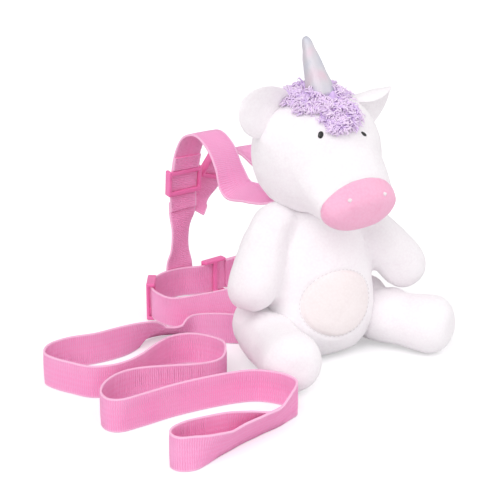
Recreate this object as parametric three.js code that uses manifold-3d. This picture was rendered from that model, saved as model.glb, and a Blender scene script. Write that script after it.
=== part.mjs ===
// Plush unicorn backpack for a small child, with its webbing harness and lead, as it stands on a table.
// Millimetres, +Z up. The animal faces -Y, so its right side is towards -X.
// The origin is the middle of the flat seat under its body.

import * as THREE from 'three';
import { mergeVertices } from 'three/addons/utils/BufferGeometryUtils.js';
import Module from 'manifold-3d';

const wasm = await Module();
wasm.setup();

// General
const gap = 0.35; // between pieces that touch
const cloth = 2; // plush fabric with its pile
const bodySides = 24;
const limbSides = 16;

// Body, with a pocket that opens at the back
const bodyWidth = 94;
const bodyDepth = 80;
const bodyHeight = 126;
const bodyAhead = 5; // middle of the body in front of the origin
const pocketWidth = 60;
const pocketHeight = 68;
const pocketFloor = 20; // stuffing under the pocket
const pocketDepth = 46; // from the back of the body
const zipTape = 11; // width of the zip's two tapes
const zipLength = 54;
const pullLength = 16;
const pullWidth = 6;
const bellyWidth = 60;
const bellyHeight = 51;
const bellyMiddle = 50; // above the floor
const bellyRise = 1.4; // patch in front of the body's cloth

// Head
const headWidth = 98;
const headDepth = 92;
const headHeight = 94;
const headMiddle = 159; // above the floor
const headAhead = 3;
const headTurn = 9; // degrees that the face is turned to its left
const muzzleWidth = 62;
const muzzleHeight = 40;
const muzzleReach = 63; // nose in front of the head's middle
const muzzleDrop = 33; // nose under the head's middle
const muzzleTilt = 17; // degrees that the muzzle points down
const snoutLength = 15; // pink end of the muzzle
const eyeSpread = 18; // each eye from the middle
const eyeHigh = 21; // eyes above the head's middle
const eyeSize = 6.5;
const eyeRise = 1.6;
const nostrilSpread = 16;
const nostrilAside = -1.5; // middle of the nostrils from the nose's middle
const nostrilHigh = 13; // nostrils above the nose
const nostrilSize = 4;
const nostrilRise = 0.6;
const earLength = 40;
const earWidth = 44;
const earThick = 5;
const earCup = 10; // depth of the hollow side
const hornLength = 48;
const hornBase = 11; // radius
const hornTilt = 27; // degrees towards the back

// Mane of long pile, over the top of the head from the forehead to the nape
const maneWidth = 54;
const maneAside = -3; // middle of the mane from the head's middle
const maneBacking = 3.5;
const lockLength = 10;
const lockThick = 16;

// Limbs
const armLength = 78;
const armThick = 39;
const legLength = 88;
const legThick = 45;

// Webbing harness
const webWidth = 25;
const webThick = 1.6;
const strapSpread = 24; // each shoulder strap from the middle of the neck
const strapRoot = 120; // height at which the shoulder straps leave the neck
const strapReach = 120; // how far the shoulder straps stand behind the neck
const archRise = 32; // top of the strap's arch above its root
const beltReach = 106; // far side of the belt behind the body
const beltSpread = 66; // each side of the belt from the middle
const railWidth = 3; // of an adjuster, beside the webbing
const adjusterLength = 22;
const barThick = 2.4;
const barWidth = 4;
const slotRoom = 0.9; // round the webbing in an adjuster or the buckle
const tailLength = 12; // turned-back end of webbing beside an adjuster
const tailLayer = 0.7; // how far that end lies off the webbing's middle, in its thicknesses
const buckleLength = 44;
const buckleThick = 9;
const harnessTurn = 8; // degrees that the harness and lead lie round towards the animal's right

// Lead, folded on the table beside the animal
const leadFold = 150; // how far its folds reach from the body
const leadLean = 38; // degrees that the near side of the hand loop leans towards the front

const origin = new THREE.Vector3();
const up = new THREE.Vector3(0, 0, 1);
const front = new THREE.Vector3(0, -1, 0);
const turned = (x, y, z) => new THREE.Vector3(x, y, z).normalize();

// A closed three.js geometry as a solid that can be joined and cut.
function solidOf(geometry) {
  geometry.deleteAttribute('normal');
  geometry.deleteAttribute('uv');
  const merged = mergeVertices(geometry, 1e-3);
  return new wasm.Manifold(new wasm.Mesh({
    numProp: 3,
    vertProperties: new Float32Array(merged.attributes.position.array),
    triVerts: new Uint32Array(merged.index.array),
  }));
}

// The other way: a solid's faces as a three.js geometry
function geometryOf(solid) {
  const { vertProperties, triVerts } = solid.getMesh();
  const geometry = new THREE.BufferGeometry();
  geometry.setAttribute('position', new THREE.BufferAttribute(vertProperties, 3));
  geometry.setIndex(new THREE.BufferAttribute(triVerts, 1));
  return geometry;
}

// Moves each vertex of a unit geometry to where place puts it, and not under the table.
function formed(geometry, place, floor = 0) {
  const position = geometry.attributes.position;
  const point = new THREE.Vector3();
  for (let i = 0; i < position.count; i += 1) {
    point.fromBufferAttribute(position, i);
    const moved = place(point);
    position.setXYZ(i, moved.x, moved.y, Math.max(moved.z, floor));
  }
  return solidOf(geometry);
}

const joined = (solids) => solids.reduce((whole, next) => whole.add(next));

// A cut solid without the splinters that a cut along a face can leave
const splinter = 0.5; // cubic millimetres
const trimmed = (solid) => joined(solid.decompose().filter((body) => body.volume() > splinter));

// Values between the rows of a table, on a smooth curve through them; t runs from 0 to 1.
function between(rows, t) {
  const at = THREE.MathUtils.clamp(t, 0, 1) * (rows.length - 1);
  const first = Math.min(Math.floor(at), rows.length - 2);
  const f = at - first;
  const row = (k) => rows[THREE.MathUtils.clamp(k, 0, rows.length - 1)];
  const [a, b, c, d] = [row(first - 1), row(first), row(first + 1), row(first + 2)];
  const mix = (p, q, r, s) => (
    q + 0.5 * f * (r - p + f * (2 * p - 5 * q + 4 * r - s + f * (3 * (q - r) + s - p)))
  );
  return Object.fromEntries(Object.keys(b).map((key) => [key, mix(a[key], b[key], c[key], d[key])]));
}

// A stuffed form along a straight axis. Each row gives, as shares, how far along the axis it lies,
// its half width and half depth, and its shift in depth. The same rows, grown, cut a seat for a neighbour.
function stuffed(rows, { start, axis, length, width, depth }, grow = 0, round = limbSides, fine = 2) {
  const ahead = front.clone().addScaledVector(axis, -front.dot(axis)).normalize();
  const side = new THREE.Vector3().crossVectors(axis, ahead);
  const unit = new THREE.CylinderGeometry(1, 1, 1, round, (rows.length - 1) * fine);
  return formed(unit, (p) => {
    const row = between(rows, p.y + 0.5);
    const end = Math.abs(p.y) > 0.499 ? Math.sign(p.y) * grow : 0;
    return start.clone()
      .addScaledVector(axis, row.along * length + end)
      .addScaledVector(side, p.x * (row.wide * width / 2 + grow))
      .addScaledVector(ahead, p.z * (row.deep * depth / 2 + grow) + row.ahead * depth);
  }, -grow);
}

// A round form with half sizes along its three axes; square above 2 makes it fuller.
function ball(middle, half, square = 2, round = bodySides) {
  const unit = new THREE.SphereGeometry(1, round, Math.round(round * 0.6));
  return formed(unit, (p) => {
    const sum = Math.abs(p.x) ** square + Math.abs(p.y) ** square + Math.abs(p.z) ** square;
    return p.clone().divideScalar(sum ** (1 / square)).multiply(half).add(middle);
  }, -Infinity);
}

// Where a route of webbing runs at t, and the directions of its length, width and face there.
function onRoute(rows, t) {
  const table = rows.map(({ x, y, z, wide }) => ({ x, y, z, wx: wide.x, wy: wide.y, wz: wide.z }));
  const at = (s) => {
    const row = between(table, s);
    return new THREE.Vector3(row.x, row.y, row.z);
  };
  const small = 0.02 / rows.length;
  const along = at(Math.min(t + small, 1)).sub(at(Math.max(t - small, 0))).normalize();
  const row = between(table, t);
  const wide = new THREE.Vector3(row.wx, row.wy, row.wz);
  wide.addScaledVector(along, -wide.dot(along)).normalize();
  return { middle: at(t), along, wide, face: new THREE.Vector3().crossVectors(along, wide) };
}

// Webbing along a route from t = from to t = to. layer counts how many thicknesses it lies off the route.
function webbing(rows, { grow = 0, layer = 0, from = 0, to = 1, fine = 2 } = {}) {
  const steps = Math.ceil((rows.length - 1) * fine * (to - from));
  return formed(new THREE.BoxGeometry(1, 1, 1, 1, 1, steps), (p) => {
    const { middle, along, wide, face } = onRoute(rows, from + (p.z + 0.5) * (to - from));
    const end = Math.abs(p.z) > 0.499 ? Math.sign(p.z) * grow : 0;
    return middle
      .addScaledVector(along, end)
      .addScaledVector(wide, p.x * (webWidth + 2 * grow))
      .addScaledVector(face, p.y * (webThick + 2 * grow) + layer * (webThick + gap));
  }, -grow);
}

// A box by its sizes, turned to three directions and moved to its middle.
function block(width, depth, height, middle, directions = []) {
  const box = new THREE.BoxGeometry(width, depth, height);
  if (directions.length) box.applyMatrix4(new THREE.Matrix4().makeBasis(...directions));
  box.translate(middle.x, middle.y, middle.z);
  return solidOf(box);
}

// An oval bar along Y, which cuts a patch out of a cloth shell.
function oval(width, height, middle, depth, round = 10) {
  const shape = new THREE.Shape();
  shape.absellipse(0, 0, width / 2, height / 2, 0, Math.PI * 2);
  const geometry = new THREE.ExtrudeGeometry(shape, { depth, bevelEnabled: false, curveSegments: round });
  geometry.translate(0, 0, -depth / 2);
  geometry.rotateX(Math.PI / 2);
  geometry.translate(middle.x, middle.y, middle.z);
  return solidOf(geometry);
}

// Body: a stuffed shell round a pocket, a back panel over the pocket, and the zip in it
const bodyRows = [
  { along: 0, wide: 0.6, deep: 0.52, ahead: -0.05 },
  { along: 0.035, wide: 0.8, deep: 0.74, ahead: -0.04 },
  { along: 0.1, wide: 0.92, deep: 0.9, ahead: -0.02 },
  { along: 0.22, wide: 0.99, deep: 1, ahead: 0.01 },
  { along: 0.37, wide: 1, deep: 1, ahead: 0.01 },
  { along: 0.53, wide: 0.95, deep: 0.93, ahead: 0 },
  { along: 0.68, wide: 0.84, deep: 0.82, ahead: -0.02 },
  { along: 0.82, wide: 0.7, deep: 0.72, ahead: -0.05 },
  { along: 0.93, wide: 0.56, deep: 0.6, ahead: -0.06 },
  { along: 1, wide: 0.36, deep: 0.4, ahead: -0.06 },
];
const bodyStart = front.clone().multiplyScalar(bodyAhead);
const bodyPlace = { start: bodyStart, axis: up, length: bodyHeight, width: bodyWidth, depth: bodyDepth };
const body = (grow = 0) => stuffed(bodyRows, bodyPlace, grow, bodySides);

const backY = bodyDepth / 2 - bodyAhead;
const pocketMiddle = new THREE.Vector3(0, backY, pocketFloor + pocketHeight / 2);
const pocketCut = oval(pocketWidth, pocketHeight, pocketMiddle, pocketDepth * 2);
const torso = body().subtract(pocketCut);

const panelCut = oval(pocketWidth - 2 * gap, pocketHeight - 2 * gap, pocketMiddle, bodyDepth);
const backCloth = body().subtract(body(-cloth)).intersect(panelCut);
const zipCut = block(zipTape + 2 * gap, bodyDepth, zipLength + 2 * gap, pocketMiddle);
const backPanel = backCloth.subtract(zipCut);
const zipTapes = body(-cloth / 4).subtract(body(-cloth))
  .intersect(block(zipTape, bodyDepth, zipLength, pocketMiddle));
const pullTop = pocketMiddle.clone().setZ(pocketMiddle.z + zipLength / 2 - pullLength);
const pull = body(cloth).subtract(body(-cloth)).intersect(block(pullWidth, bodyDepth, pullLength, pullTop));
const zip = zipTapes.add(pull);

const bellyFront = new THREE.Vector3(0, -bodyDepth / 2, bellyMiddle);
const bellyCut = oval(bellyWidth, bellyHeight, bellyFront, bodyDepth);
const bellyPatch = body(bellyRise).subtract(body(gap)).intersect(bellyCut);

// Head: a round skull with a muzzle, whose end is the pink snout
const headCentre = new THREE.Vector3(0, -headAhead, headMiddle);
const headHalf = new THREE.Vector3(headWidth, headDepth, headHeight).divideScalar(2);
const muzzleRows = [
  { along: 0, wide: 1.3, deep: 1.6, ahead: 0.2 },
  { along: 0.3, wide: 1.28, deep: 1.72, ahead: 0.26 },
  { along: 0.54, wide: 1.15, deep: 1.48, ahead: 0.2 },
  { along: 0.7, wide: 1.05, deep: 1.18, ahead: 0.08 },
  { along: 0.83, wide: 1, deep: 1, ahead: 0 },
  { along: 0.92, wide: 0.9, deep: 0.88, ahead: 0 },
  { along: 0.98, wide: 0.7, deep: 0.66, ahead: 0 },
  { along: 1, wide: 0.44, deep: 0.38, ahead: 0 },
];
const nose = headCentre.clone().add(new THREE.Vector3(0, -muzzleReach, -muzzleDrop));
const muzzleAngle = THREE.MathUtils.degToRad(muzzleTilt);
const muzzleAxis = turned(0, -Math.cos(muzzleAngle), -Math.sin(muzzleAngle));
const muzzleSpan = muzzleReach;
const muzzlePlace = {
  start: nose.clone().addScaledVector(muzzleAxis, -muzzleSpan),
  axis: muzzleAxis,
  length: muzzleSpan,
  width: muzzleWidth,
  depth: muzzleHeight,
};
const muzzle = (grow = 0) => stuffed(muzzleRows, muzzlePlace, grow, bodySides);
const skullSquare = 2.15; // 2 is an ellipsoid, more is fuller
const skull = (grow = 0) => ball(headCentre, headHalf.clone().addScalar(grow), skullSquare);
const face = (grow = 0) => skull(grow).add(muzzle(grow));
const muzzleSide = new THREE.Vector3(1, 0, 0);
const muzzleUp = new THREE.Vector3().crossVectors(muzzleSide, muzzleAxis).negate();
const beyondSeam = (offset) => block(
  bodyWidth,
  bodyWidth,
  muzzleSpan,
  nose.clone().addScaledVector(muzzleAxis, muzzleSpan / 2 - snoutLength + offset),
  [muzzleSide, muzzleUp, muzzleAxis],
);
const head = face().subtract(beyondSeam(0));
const snout = muzzle().intersect(beyondSeam(gap));

// A point on the front of the skull at x and at a height over its middle
function onSkull(x, high, grow = 0) {
  const half = headHalf.clone().addScalar(grow);
  const rest = 1 - Math.abs(x / half.x) ** skullSquare - Math.abs(high / half.z) ** skullSquare;
  return headCentre.clone().add(new THREE.Vector3(x, -half.y * rest ** (1 / skullSquare), high));
}

// The eyes are sewn a little unevenly.
const eyes = {
  right: { side: -1.25, high: 1.12 },
  left: { side: 0.72, high: 0.94 },
};
const eye = ({ side, high }) => ball(
  onSkull(side * eyeSpread, high * eyeHigh, eyeRise - eyeSize / 2),
  new THREE.Vector3(eyeSize, eyeSize, eyeSize * 1.2).divideScalar(2),
  2,
  12,
).subtract(face(gap));

function nostril(sign) {
  const spot = nose.clone()
    .addScaledVector(muzzleSide, sign * nostrilSpread + nostrilAside)
    .addScaledVector(muzzleUp, nostrilHigh);
  const rod = new THREE.CylinderGeometry(nostrilSize / 2, nostrilSize / 2, muzzleSpan, 10);
  rod.applyMatrix4(new THREE.Matrix4().makeBasis(muzzleUp, muzzleAxis, muzzleSide));
  rod.translate(spot.x, spot.y, spot.z);
  return muzzle(nostrilRise + gap).subtract(muzzle(gap)).intersect(solidOf(rod));
}

// Ears: cupped leaves that stand out from the upper corners of the head
const ears = {
  right: { sign: -1, size: 1, rise: 0.46, droop: 0 },
  left: { sign: 1, size: 1.16, rise: 0.1, droop: 0.5 },
};
function ear({ sign, size, rise, droop }, grow = 0) {
  const along = turned(sign * 0.9, -0.1, rise);
  const hollow = turned(0, -1, -droop);
  const wide = new THREE.Vector3().crossVectors(along, hollow).normalize();
  hollow.crossVectors(wide, along);
  const base = new THREE.Vector3(sign * 0.6, 0.12, 0.58).multiply(headHalf).add(headCentre);
  return formed(new THREE.SphereGeometry(1, 16, 9), (p) => {
    const rim = p.x ** 2;
    return base.clone()
      .addScaledVector(along, (p.y + 0.7) / 1.7 * size * earLength + p.y * grow)
      .addScaledVector(wide, p.x * (earWidth / 2 + grow))
      .addScaledVector(hollow, p.z * (earThick / 2 + grow) + (rim - 0.4) * earCup);
  }).subtract(face(gap));
}

// Horn: a stuffed cone with a crease near its tip
const hornRows = [
  { along: 0, wide: 1, deep: 1, ahead: 0 },
  { along: 0.22, wide: 0.93, deep: 0.93, ahead: 0 },
  { along: 0.5, wide: 0.7, deep: 0.7, ahead: 0 },
  { along: 0.74, wide: 0.5, deep: 0.5, ahead: 0 },
  { along: 0.79, wide: 0.42, deep: 0.42, ahead: 0 },
  { along: 0.85, wide: 0.41, deep: 0.41, ahead: 0 },
  { along: 0.96, wide: 0.3, deep: 0.3, ahead: 0 },
  { along: 1, wide: 0.14, deep: 0.14, ahead: 0 },
];
const hornPlace = {
  start: headCentre.clone().add(new THREE.Vector3(0, -headHalf.y * 0.15, headHalf.z * 0.9)),
  axis: turned(0, Math.tan(THREE.MathUtils.degToRad(hornTilt)), 1),
  length: hornLength,
  width: hornBase * 2,
  depth: hornBase * 2,
};
const horn = (grow = 0) => stuffed(hornRows, hornPlace, grow, 14, 1).subtract(face(gap));

// Mane: a backing on the skull with rows of locks fused to it. over is the angle from the forehead
// over the top to the nape, lean how far the locks lie towards the front (+) or the nape (-).
const lockRows = [
  { along: 0, wide: 0.9, deep: 0.9, ahead: 0 },
  { along: 0.5, wide: 1, deep: 0.9, ahead: 0 },
  { along: 1, wide: 0.5, deep: 0.42, ahead: 0 },
];
const maneRows = [
  { over: 41, locks: 2, spread: 0.36, lean: 0.7 },
  { over: 55, locks: 3, spread: 0.8, lean: 0.6 },
  { over: 76, locks: 4, spread: 1, lean: 0.3 },
  { over: 99, locks: 3, spread: 1, lean: -0.3 },
  { over: 121, locks: 3, spread: 0.9, lean: -0.6 },
  { over: 144, locks: 3, spread: 0.8, lean: -0.9 },
  { over: 167, locks: 2, spread: 0.5, lean: -1 },
  { over: 188, locks: 2, spread: 0.36, lean: -1 },
];
const lockStagger = 3; // degrees that every other lock of a row lies further over

function lock(over, shift, towards) {
  const angle = THREE.MathUtils.degToRad(over);
  const aside = (shift * maneWidth / 2 + maneAside) / headHalf.x;
  const out = new THREE.Vector3(aside, -Math.cos(angle), Math.sin(angle)).normalize();
  const along = new THREE.Vector3(0, -Math.sin(angle), -Math.cos(angle));
  return stuffed(lockRows, {
    start: out.clone().multiply(headHalf).add(headCentre),
    axis: out.clone().addScaledVector(along, towards).add(new THREE.Vector3(aside * 0.5, 0, 0)).normalize(),
    length: lockLength,
    width: lockThick,
    depth: lockThick,
  }, 0, 5, 1);
}

const locks = maneRows.flatMap((row, number) => Array.from({ length: row.locks }, (_, k) => {
  const shift = row.spread * (2 * (k + 0.5) / row.locks - 1);
  const stagger = k % 2 ? lockStagger : -lockStagger;
  return lock(row.over + stagger, shift, row.lean + (number + k) % 3 * 0.15);
}));
const maneTop = ball(
  headCentre.clone().add(new THREE.Vector3(maneAside, 0, headHalf.z * 0.7)),
  new THREE.Vector3(maneWidth / 2, headHalf.y * 0.95, headHalf.z * 0.55),
  2,
  limbSides,
);
const maneNape = ball(
  headCentre.clone().add(new THREE.Vector3(maneAside, headHalf.y * 0.9, headHalf.z * 0.1)),
  new THREE.Vector3(maneWidth * 0.34, headHalf.y * 0.4, headHalf.z * 0.75),
  2,
  limbSides,
);
const maneCloth = skull(maneBacking).intersect(maneTop.add(maneNape));
const earsCut = ear(ears.right, 3 * gap).add(ear(ears.left, 3 * gap));
const mane = joined([maneCloth, ...locks]).subtract(face(gap)).subtract(horn(gap)).subtract(earsCut);

// The head and all on it are turned as one on the neck.
const headPose = new THREE.Matrix4().makeTranslation(headCentre)
  .multiply(new THREE.Matrix4().makeRotationZ(THREE.MathUtils.degToRad(headTurn)))
  .multiply(new THREE.Matrix4().makeTranslation(headCentre.clone().negate()));
const posed = (solid) => solidOf(geometryOf(solid).applyMatrix4(headPose));

// Limbs: where each starts, as shares of the body's sizes, and which way it points
const armRows = [
  { along: 0, wide: 0.6, deep: 0.6, ahead: 0 },
  { along: 0.14, wide: 0.82, deep: 0.84, ahead: 0 },
  { along: 0.36, wide: 0.92, deep: 0.94, ahead: 0.01 },
  { along: 0.6, wide: 1, deep: 1, ahead: 0.02 },
  { along: 0.8, wide: 0.98, deep: 0.96, ahead: 0.01 },
  { along: 0.93, wide: 0.76, deep: 0.76, ahead: 0 },
  { along: 1, wide: 0.4, deep: 0.4, ahead: 0 },
];
const legRows = [
  { along: 0, wide: 0.8, deep: 0.8, ahead: 0 },
  { along: 0.25, wide: 0.98, deep: 0.98, ahead: 0 },
  { along: 0.5, wide: 0.94, deep: 0.94, ahead: 0 },
  { along: 0.68, wide: 1, deep: 1, ahead: 0 },
  { along: 0.84, wide: 1.04, deep: 1.04, ahead: 0 },
  { along: 0.95, wide: 0.8, deep: 0.8, ahead: 0 },
  { along: 1, wide: 0.46, deep: 0.46, ahead: 0 },
];
const arms = {
  right: { sign: -1, shoulder: 0.43, share: 0.86, out: 0.4, ahead: 0.2, down: 0.86 },
  left: { sign: 1, shoulder: 0.38, share: 1, out: 0.62, ahead: 0.2, down: 0.78 },
};
const legs = {
  right: { sign: -1, hip: 0.5, share: 1, out: 0.12, ahead: 0.99 },
  left: { sign: 1, hip: 0.4, share: 0.94, out: 0.58, ahead: 0.82 },
};

function arm({ sign, shoulder, share, out, ahead, down }, grow = 0) {
  return stuffed(armRows, {
    start: new THREE.Vector3(sign * bodyWidth * shoulder, -bodyDepth * 0.06, bodyHeight * 0.86),
    axis: turned(sign * out, -ahead, -down),
    length: share * armLength,
    width: armThick,
    depth: armThick,
  }, grow, limbSides, 1.5).subtract(body(gap)).subtract(posed(face(gap)));
}

const legPlace = ({ sign, hip, share, out, ahead }) => ({
  start: new THREE.Vector3(sign * bodyWidth * hip, 0, legThick * 0.52),
  axis: turned(sign * out, -ahead, 0),
  length: share * legLength,
  width: legThick,
  depth: legThick,
});
const leg = (pose, grow = 0) => stuffed(legRows, legPlace(pose), grow, limbSides, 1.5).subtract(body(gap));

// Directions that the width of the webbing takes
const level = turned(1, 0, 0);
const tipped = turned(0.9, -0.25, 0.35);
const lying = turned(0.8, 0.5, 0.3);
const twisted = turned(0.92, 0.39, 0);
const steep = turned(0.45, -0.35, 0.8);
const lean = Math.tan(THREE.MathUtils.degToRad(leadLean));
const leaned = turned(-0.574 * lean, -0.819 * lean, 1);

// Height of the middle of webbing whose lower edge rests on the table
const resting = (wide) => (webWidth * Math.abs(wide.z) + webThick * Math.sqrt(1 - wide.z ** 2)) / 2;

// A row of a route, turned with the harness round the vertical line through a root
const turn = THREE.MathUtils.degToRad(harnessTurn);
const laid = (x, y, z, wide, root = origin) => ({
  x: root.x + x * Math.cos(turn) - y * Math.sin(turn),
  y: root.y + x * Math.sin(turn) + y * Math.cos(turn),
  z,
  wide: wide.clone().applyAxisAngle(up, turn),
});

// Shoulder straps. side, back, high and rise are shares of strapSpread, of strapReach behind the neck,
// of strapRoot and of archRise.
const neckY = bodyDepth * 0.2;
const strapRoute = (rows) => rows.map(({ side, back, high, rise = 0, wide }) => laid(
  side * strapSpread,
  neckY + back * strapReach,
  high * strapRoot + rise * archRise,
  wide,
));
const rightStrapRoute = strapRoute([
  { side: -0.7, back: -0.04, high: 1.01, wide: level },
  { side: -0.85, back: 0.1, high: 1, wide: tipped },
  { side: -1.05, back: 0.24, high: 0.985, wide: lying },
  { side: -1.2, back: 0.37, high: 0.99, wide: tipped },
  { side: -1.2, back: 0.46, high: 1, rise: 0.4, wide: level },
  { side: -1.16, back: 0.57, high: 1, rise: 0.82, wide: level },
  { side: -1.14, back: 0.72, high: 1, rise: 1.03, wide: level },
  { side: -1.14, back: 0.87, high: 1, rise: 0.85, wide: level },
  { side: -1.14, back: 0.97, high: 1, rise: 0.35, wide: level },
  { side: -1.14, back: 1.02, high: 0.93, wide: level },
  { side: -1.13, back: 1.035, high: 0.84, wide: level },
  { side: -1.12, back: 1.045, high: 0.75, wide: level },
  { side: -1.1, back: 1.05, high: 0.66, wide: level },
]);
const leftStrapRoute = strapRoute([
  { side: 0.7, back: -0.04, high: 1.01, wide: level },
  { side: 0.8, back: 0.14, high: 0.98, wide: level },
  { side: 0.76, back: 0.34, high: 0.95, wide: level },
  { side: 0.7, back: 0.54, high: 1, rise: 0.1, wide: level },
  { side: 0.64, back: 0.74, high: 1, rise: 0.36, wide: level },
  { side: 0.56, back: 0.92, high: 1, rise: 0.25, wide: level },
  { side: 0.46, back: 1.03, high: 0.96, wide: level },
  { side: 0.3, back: 1.075, high: 0.87, wide: level },
  { side: 0.12, back: 1.12, high: 0.78, wide: level },
  { side: -0.26, back: 1.14, high: 0.7, wide: level },
  { side: -0.66, back: 1.09, high: 0.64, wide: level },
]);
const chestRoute = strapRoute([
  { side: -1.1, back: 1.05, high: 0.72, wide: level },
  { side: -1.1, back: 1.05, high: 0.64, wide: level },
  { side: -1.14, back: 1.05, high: 0.52, wide: twisted },
  { side: -1.2, back: 1.05, high: 0.37, wide: twisted },
]);

// Its foot hangs behind the far side of the belt.
const chestFoot = (high) => laid(-1.25 * strapSpread, backY + 1.01 * beltReach, high * strapRoot, level);
chestRoute.push(chestFoot(0.24), chestFoot(0.03));

// Belt, standing on the rails of its adjusters. side and back are shares of beltSpread and of beltReach
// behind the body.
const beltRoute = (rows) => rows.map(({ side, back, high = 0, wide = up }) => laid(
  side * beltSpread,
  backY + back * beltReach,
  resting(wide) + high * webWidth + railWidth + gap,
  wide,
));
const beltRightRoute = beltRoute([
  { side: -0.36, back: -0.1, high: 0.75, wide: up },
  { side: -0.56, back: 0.1, high: 0.62, wide: steep },
  { side: -0.84, back: 0.3, high: 0.3, wide: steep },
  { side: -1.08, back: 0.48, wide: up },
  { side: -1.16, back: 0.66 },
  { side: -1.08, back: 0.82 },
  { side: -0.9, back: 0.94 },
  { side: -0.68, back: 1 },
  { side: -0.44, back: 1 },
  { side: -0.22, back: 0.95 },
  { side: 0.04, back: 0.955 },
  { side: 0.32, back: 0.975 },
  { side: 0.62, back: 0.96 },
  { side: 0.86, back: 0.84 },
  { side: 0.98, back: 0.68 },
]);
const beltLeftRoute = beltRoute([
  { side: 0.98, back: 0.44 },
  { side: 0.94, back: 0.3 },
  { side: 0.8, back: 0.14 },
  { side: 0.62, back: 0.02 },
  { side: 0.44, back: -0.1 },
]);

// Lead and hand loop. out and back are shares of leadFold towards -X and +Y, from the lead's root on
// the body for its first half and from the right foot for its second.
const leadRoute = (root, rows) => rows.map(({ out, back, high = 0, wide = up }) => laid(
  -out * leadFold,
  back * leadFold,
  resting(wide) + high * webWidth,
  wide,
  root,
));
const leadRoot = new THREE.Vector3(-bodyWidth * 0.53, bodyDepth * 0.44, 0);
const footPlace = legPlace(legs.right);
const foot = footPlace.start.clone().addScaledVector(footPlace.axis, legLength * 0.7).setZ(0);
const leadRows = [
  ...leadRoute(leadRoot, [
    { out: -0.26, back: -0.26 },
    { out: -0.05, back: -0.09 },
    { out: 0.1, back: 0.07, wide: steep },
    { out: 0.2, back: 0.18, wide: turned(0.3, -0.8, 0.5) },
    { out: 0.33, back: 0.22, wide: turned(0, -0.8, 0.6) },
    { out: 0.45, back: 0.18, wide: turned(0, -0.35, 0.93) },
    { out: 0.59, back: 0.16 },
    { out: 0.74, back: 0.16 },
    { out: 0.88, back: 0.19 },
    { out: 1, back: 0.17 },
    { out: 1.07, back: 0.09 },
    { out: 1.06, back: 0 },
    { out: 1.02, back: -0.09 },
    { out: 0.97, back: -0.18 },
    { out: 0.89, back: -0.225 },
    { out: 0.79, back: -0.23 },
    { out: 0.68, back: -0.195 },
    { out: 0.56, back: -0.13 },
    { out: 0.45, back: -0.09 },
    { out: 0.35, back: -0.11 },
    { out: 0.29, back: -0.19 },
    { out: 0.27, back: -0.3 },
  ]),
  ...leadRoute(foot, [
    { out: 0.23, back: 0.205 },
    { out: 0.31, back: 0.16 },
    { out: 0.41, back: 0.18 },
    { out: 0.53, back: 0.24 },
    { out: 0.67, back: 0.3 },
    { out: 0.78, back: 0.3 },
    { out: 0.88, back: 0.25 },
    { out: 0.95, back: 0.17 },
    { out: 0.965, back: 0.09 },
    { out: 0.92, back: 0.04 },
    { out: 0.81, back: 0.035 },
    { out: 0.64, back: 0.04 },
    { out: 0.48, back: 0.027 },
    { out: 0.33, back: 0 },
    { out: 0.225, back: -0.04 },
    { out: 0.16, back: -0.11 },
    { out: 0.127, back: -0.19 },
    { out: 0.14, back: -0.27 },
    { out: 0.21, back: -0.32, wide: turned(-0.2, -0.3, 1) },
    { out: 0.32, back: -0.37, wide: leaned },
    { out: 0.43, back: -0.395, wide: leaned },
    { out: 0.55, back: -0.42, wide: leaned },
    { out: 0.67, back: -0.455, wide: leaned },
    { out: 0.77, back: -0.48, wide: turned(-0.2, -0.3, 1) },
    { out: 0.85, back: -0.475 },
    { out: 0.91, back: -0.445 },
    { out: 0.92, back: -0.39 },
    { out: 0.88, back: -0.345 },
    { out: 0.8, back: -0.325 },
    { out: 0.7, back: -0.335 },
    { out: 0.6, back: -0.355 },
  ]),
];
const handleEndRows = [
  ...leadRows.slice(-2),
  ...leadRoute(foot, [
    { out: 0.5, back: -0.37, wide: turned(-0.2, -0.3, 1) },
    { out: 0.4, back: -0.375, wide: leaned },
    { out: 0.33, back: -0.368, wide: leaned },
  ]),
];

// The t of a route that lies a length of webbing on from t, or back from it where the length is under 0
function onwards(rows, t, length) {
  const step = Math.sign(length) / (50 * rows.length);
  let at = t;
  let run = 0;
  while (run < Math.abs(length)) {
    run += onRoute(rows, at).middle.distanceTo(onRoute(rows, at + step).middle);
    at += step;
  }
  return at;
}

// Webbing with a turned-back end on one face of it, from beside the adjuster at t; way is 1 for onwards
function tailed(rows, t, way) {
  const first = onwards(rows, t, way * (adjusterLength / 2 + 3 * gap));
  const last = onwards(rows, first, way * tailLength);
  const [from, to] = [first, last].sort((a, b) => a - b);
  return webbing(rows).add(webbing(rows, { from, to, layer: tailLayer, fine: 4 }));
}

// Adjuster at t: two rails beside the webbing, a bar over each end of the rails behind it and one in front
function adjuster(rows, t, flip = 1) {
  const { middle, along, wide, face: faceOut } = onRoute(rows, t);
  const out = faceOut.multiplyScalar(flip);
  const side = new THREE.Vector3().crossVectors(along, out);
  const basis = [side, along, out];
  const deep = webThick + 2 * (gap + barThick);
  const reach = webWidth + 2 * (gap + railWidth);
  const barOff = (webThick + barThick) / 2 + gap;
  const railOff = (webWidth + railWidth) / 2 + gap;
  const endOff = (adjusterLength - barWidth) / 2;
  const shifted = (s, a, o) => (
    middle.clone().addScaledVector(side, s).addScaledVector(along, a).addScaledVector(out, o)
  );
  const rails = [-1, 1].map((k) => (
    block(railWidth, adjusterLength, deep, shifted(k * railOff, 0, 0), basis)
  ));
  const bars = [[-1, -1], [1, -1], [0, 1]].map(([k, way]) => (
    block(reach - railWidth, barWidth, barThick, shifted(0, k * endOff, way * barOff), basis)
  ));
  return joined([...rails, ...bars]).subtract(webbing(rows, { grow: slotRoom }));
}

// Where the adjusters sit on their routes
const rightSliderAt = 0.8;
const leftSliderAt = 0.65;
const beltSliderRightAt = 0.37;
const beltSliderLeftAt = 0.7;

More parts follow.
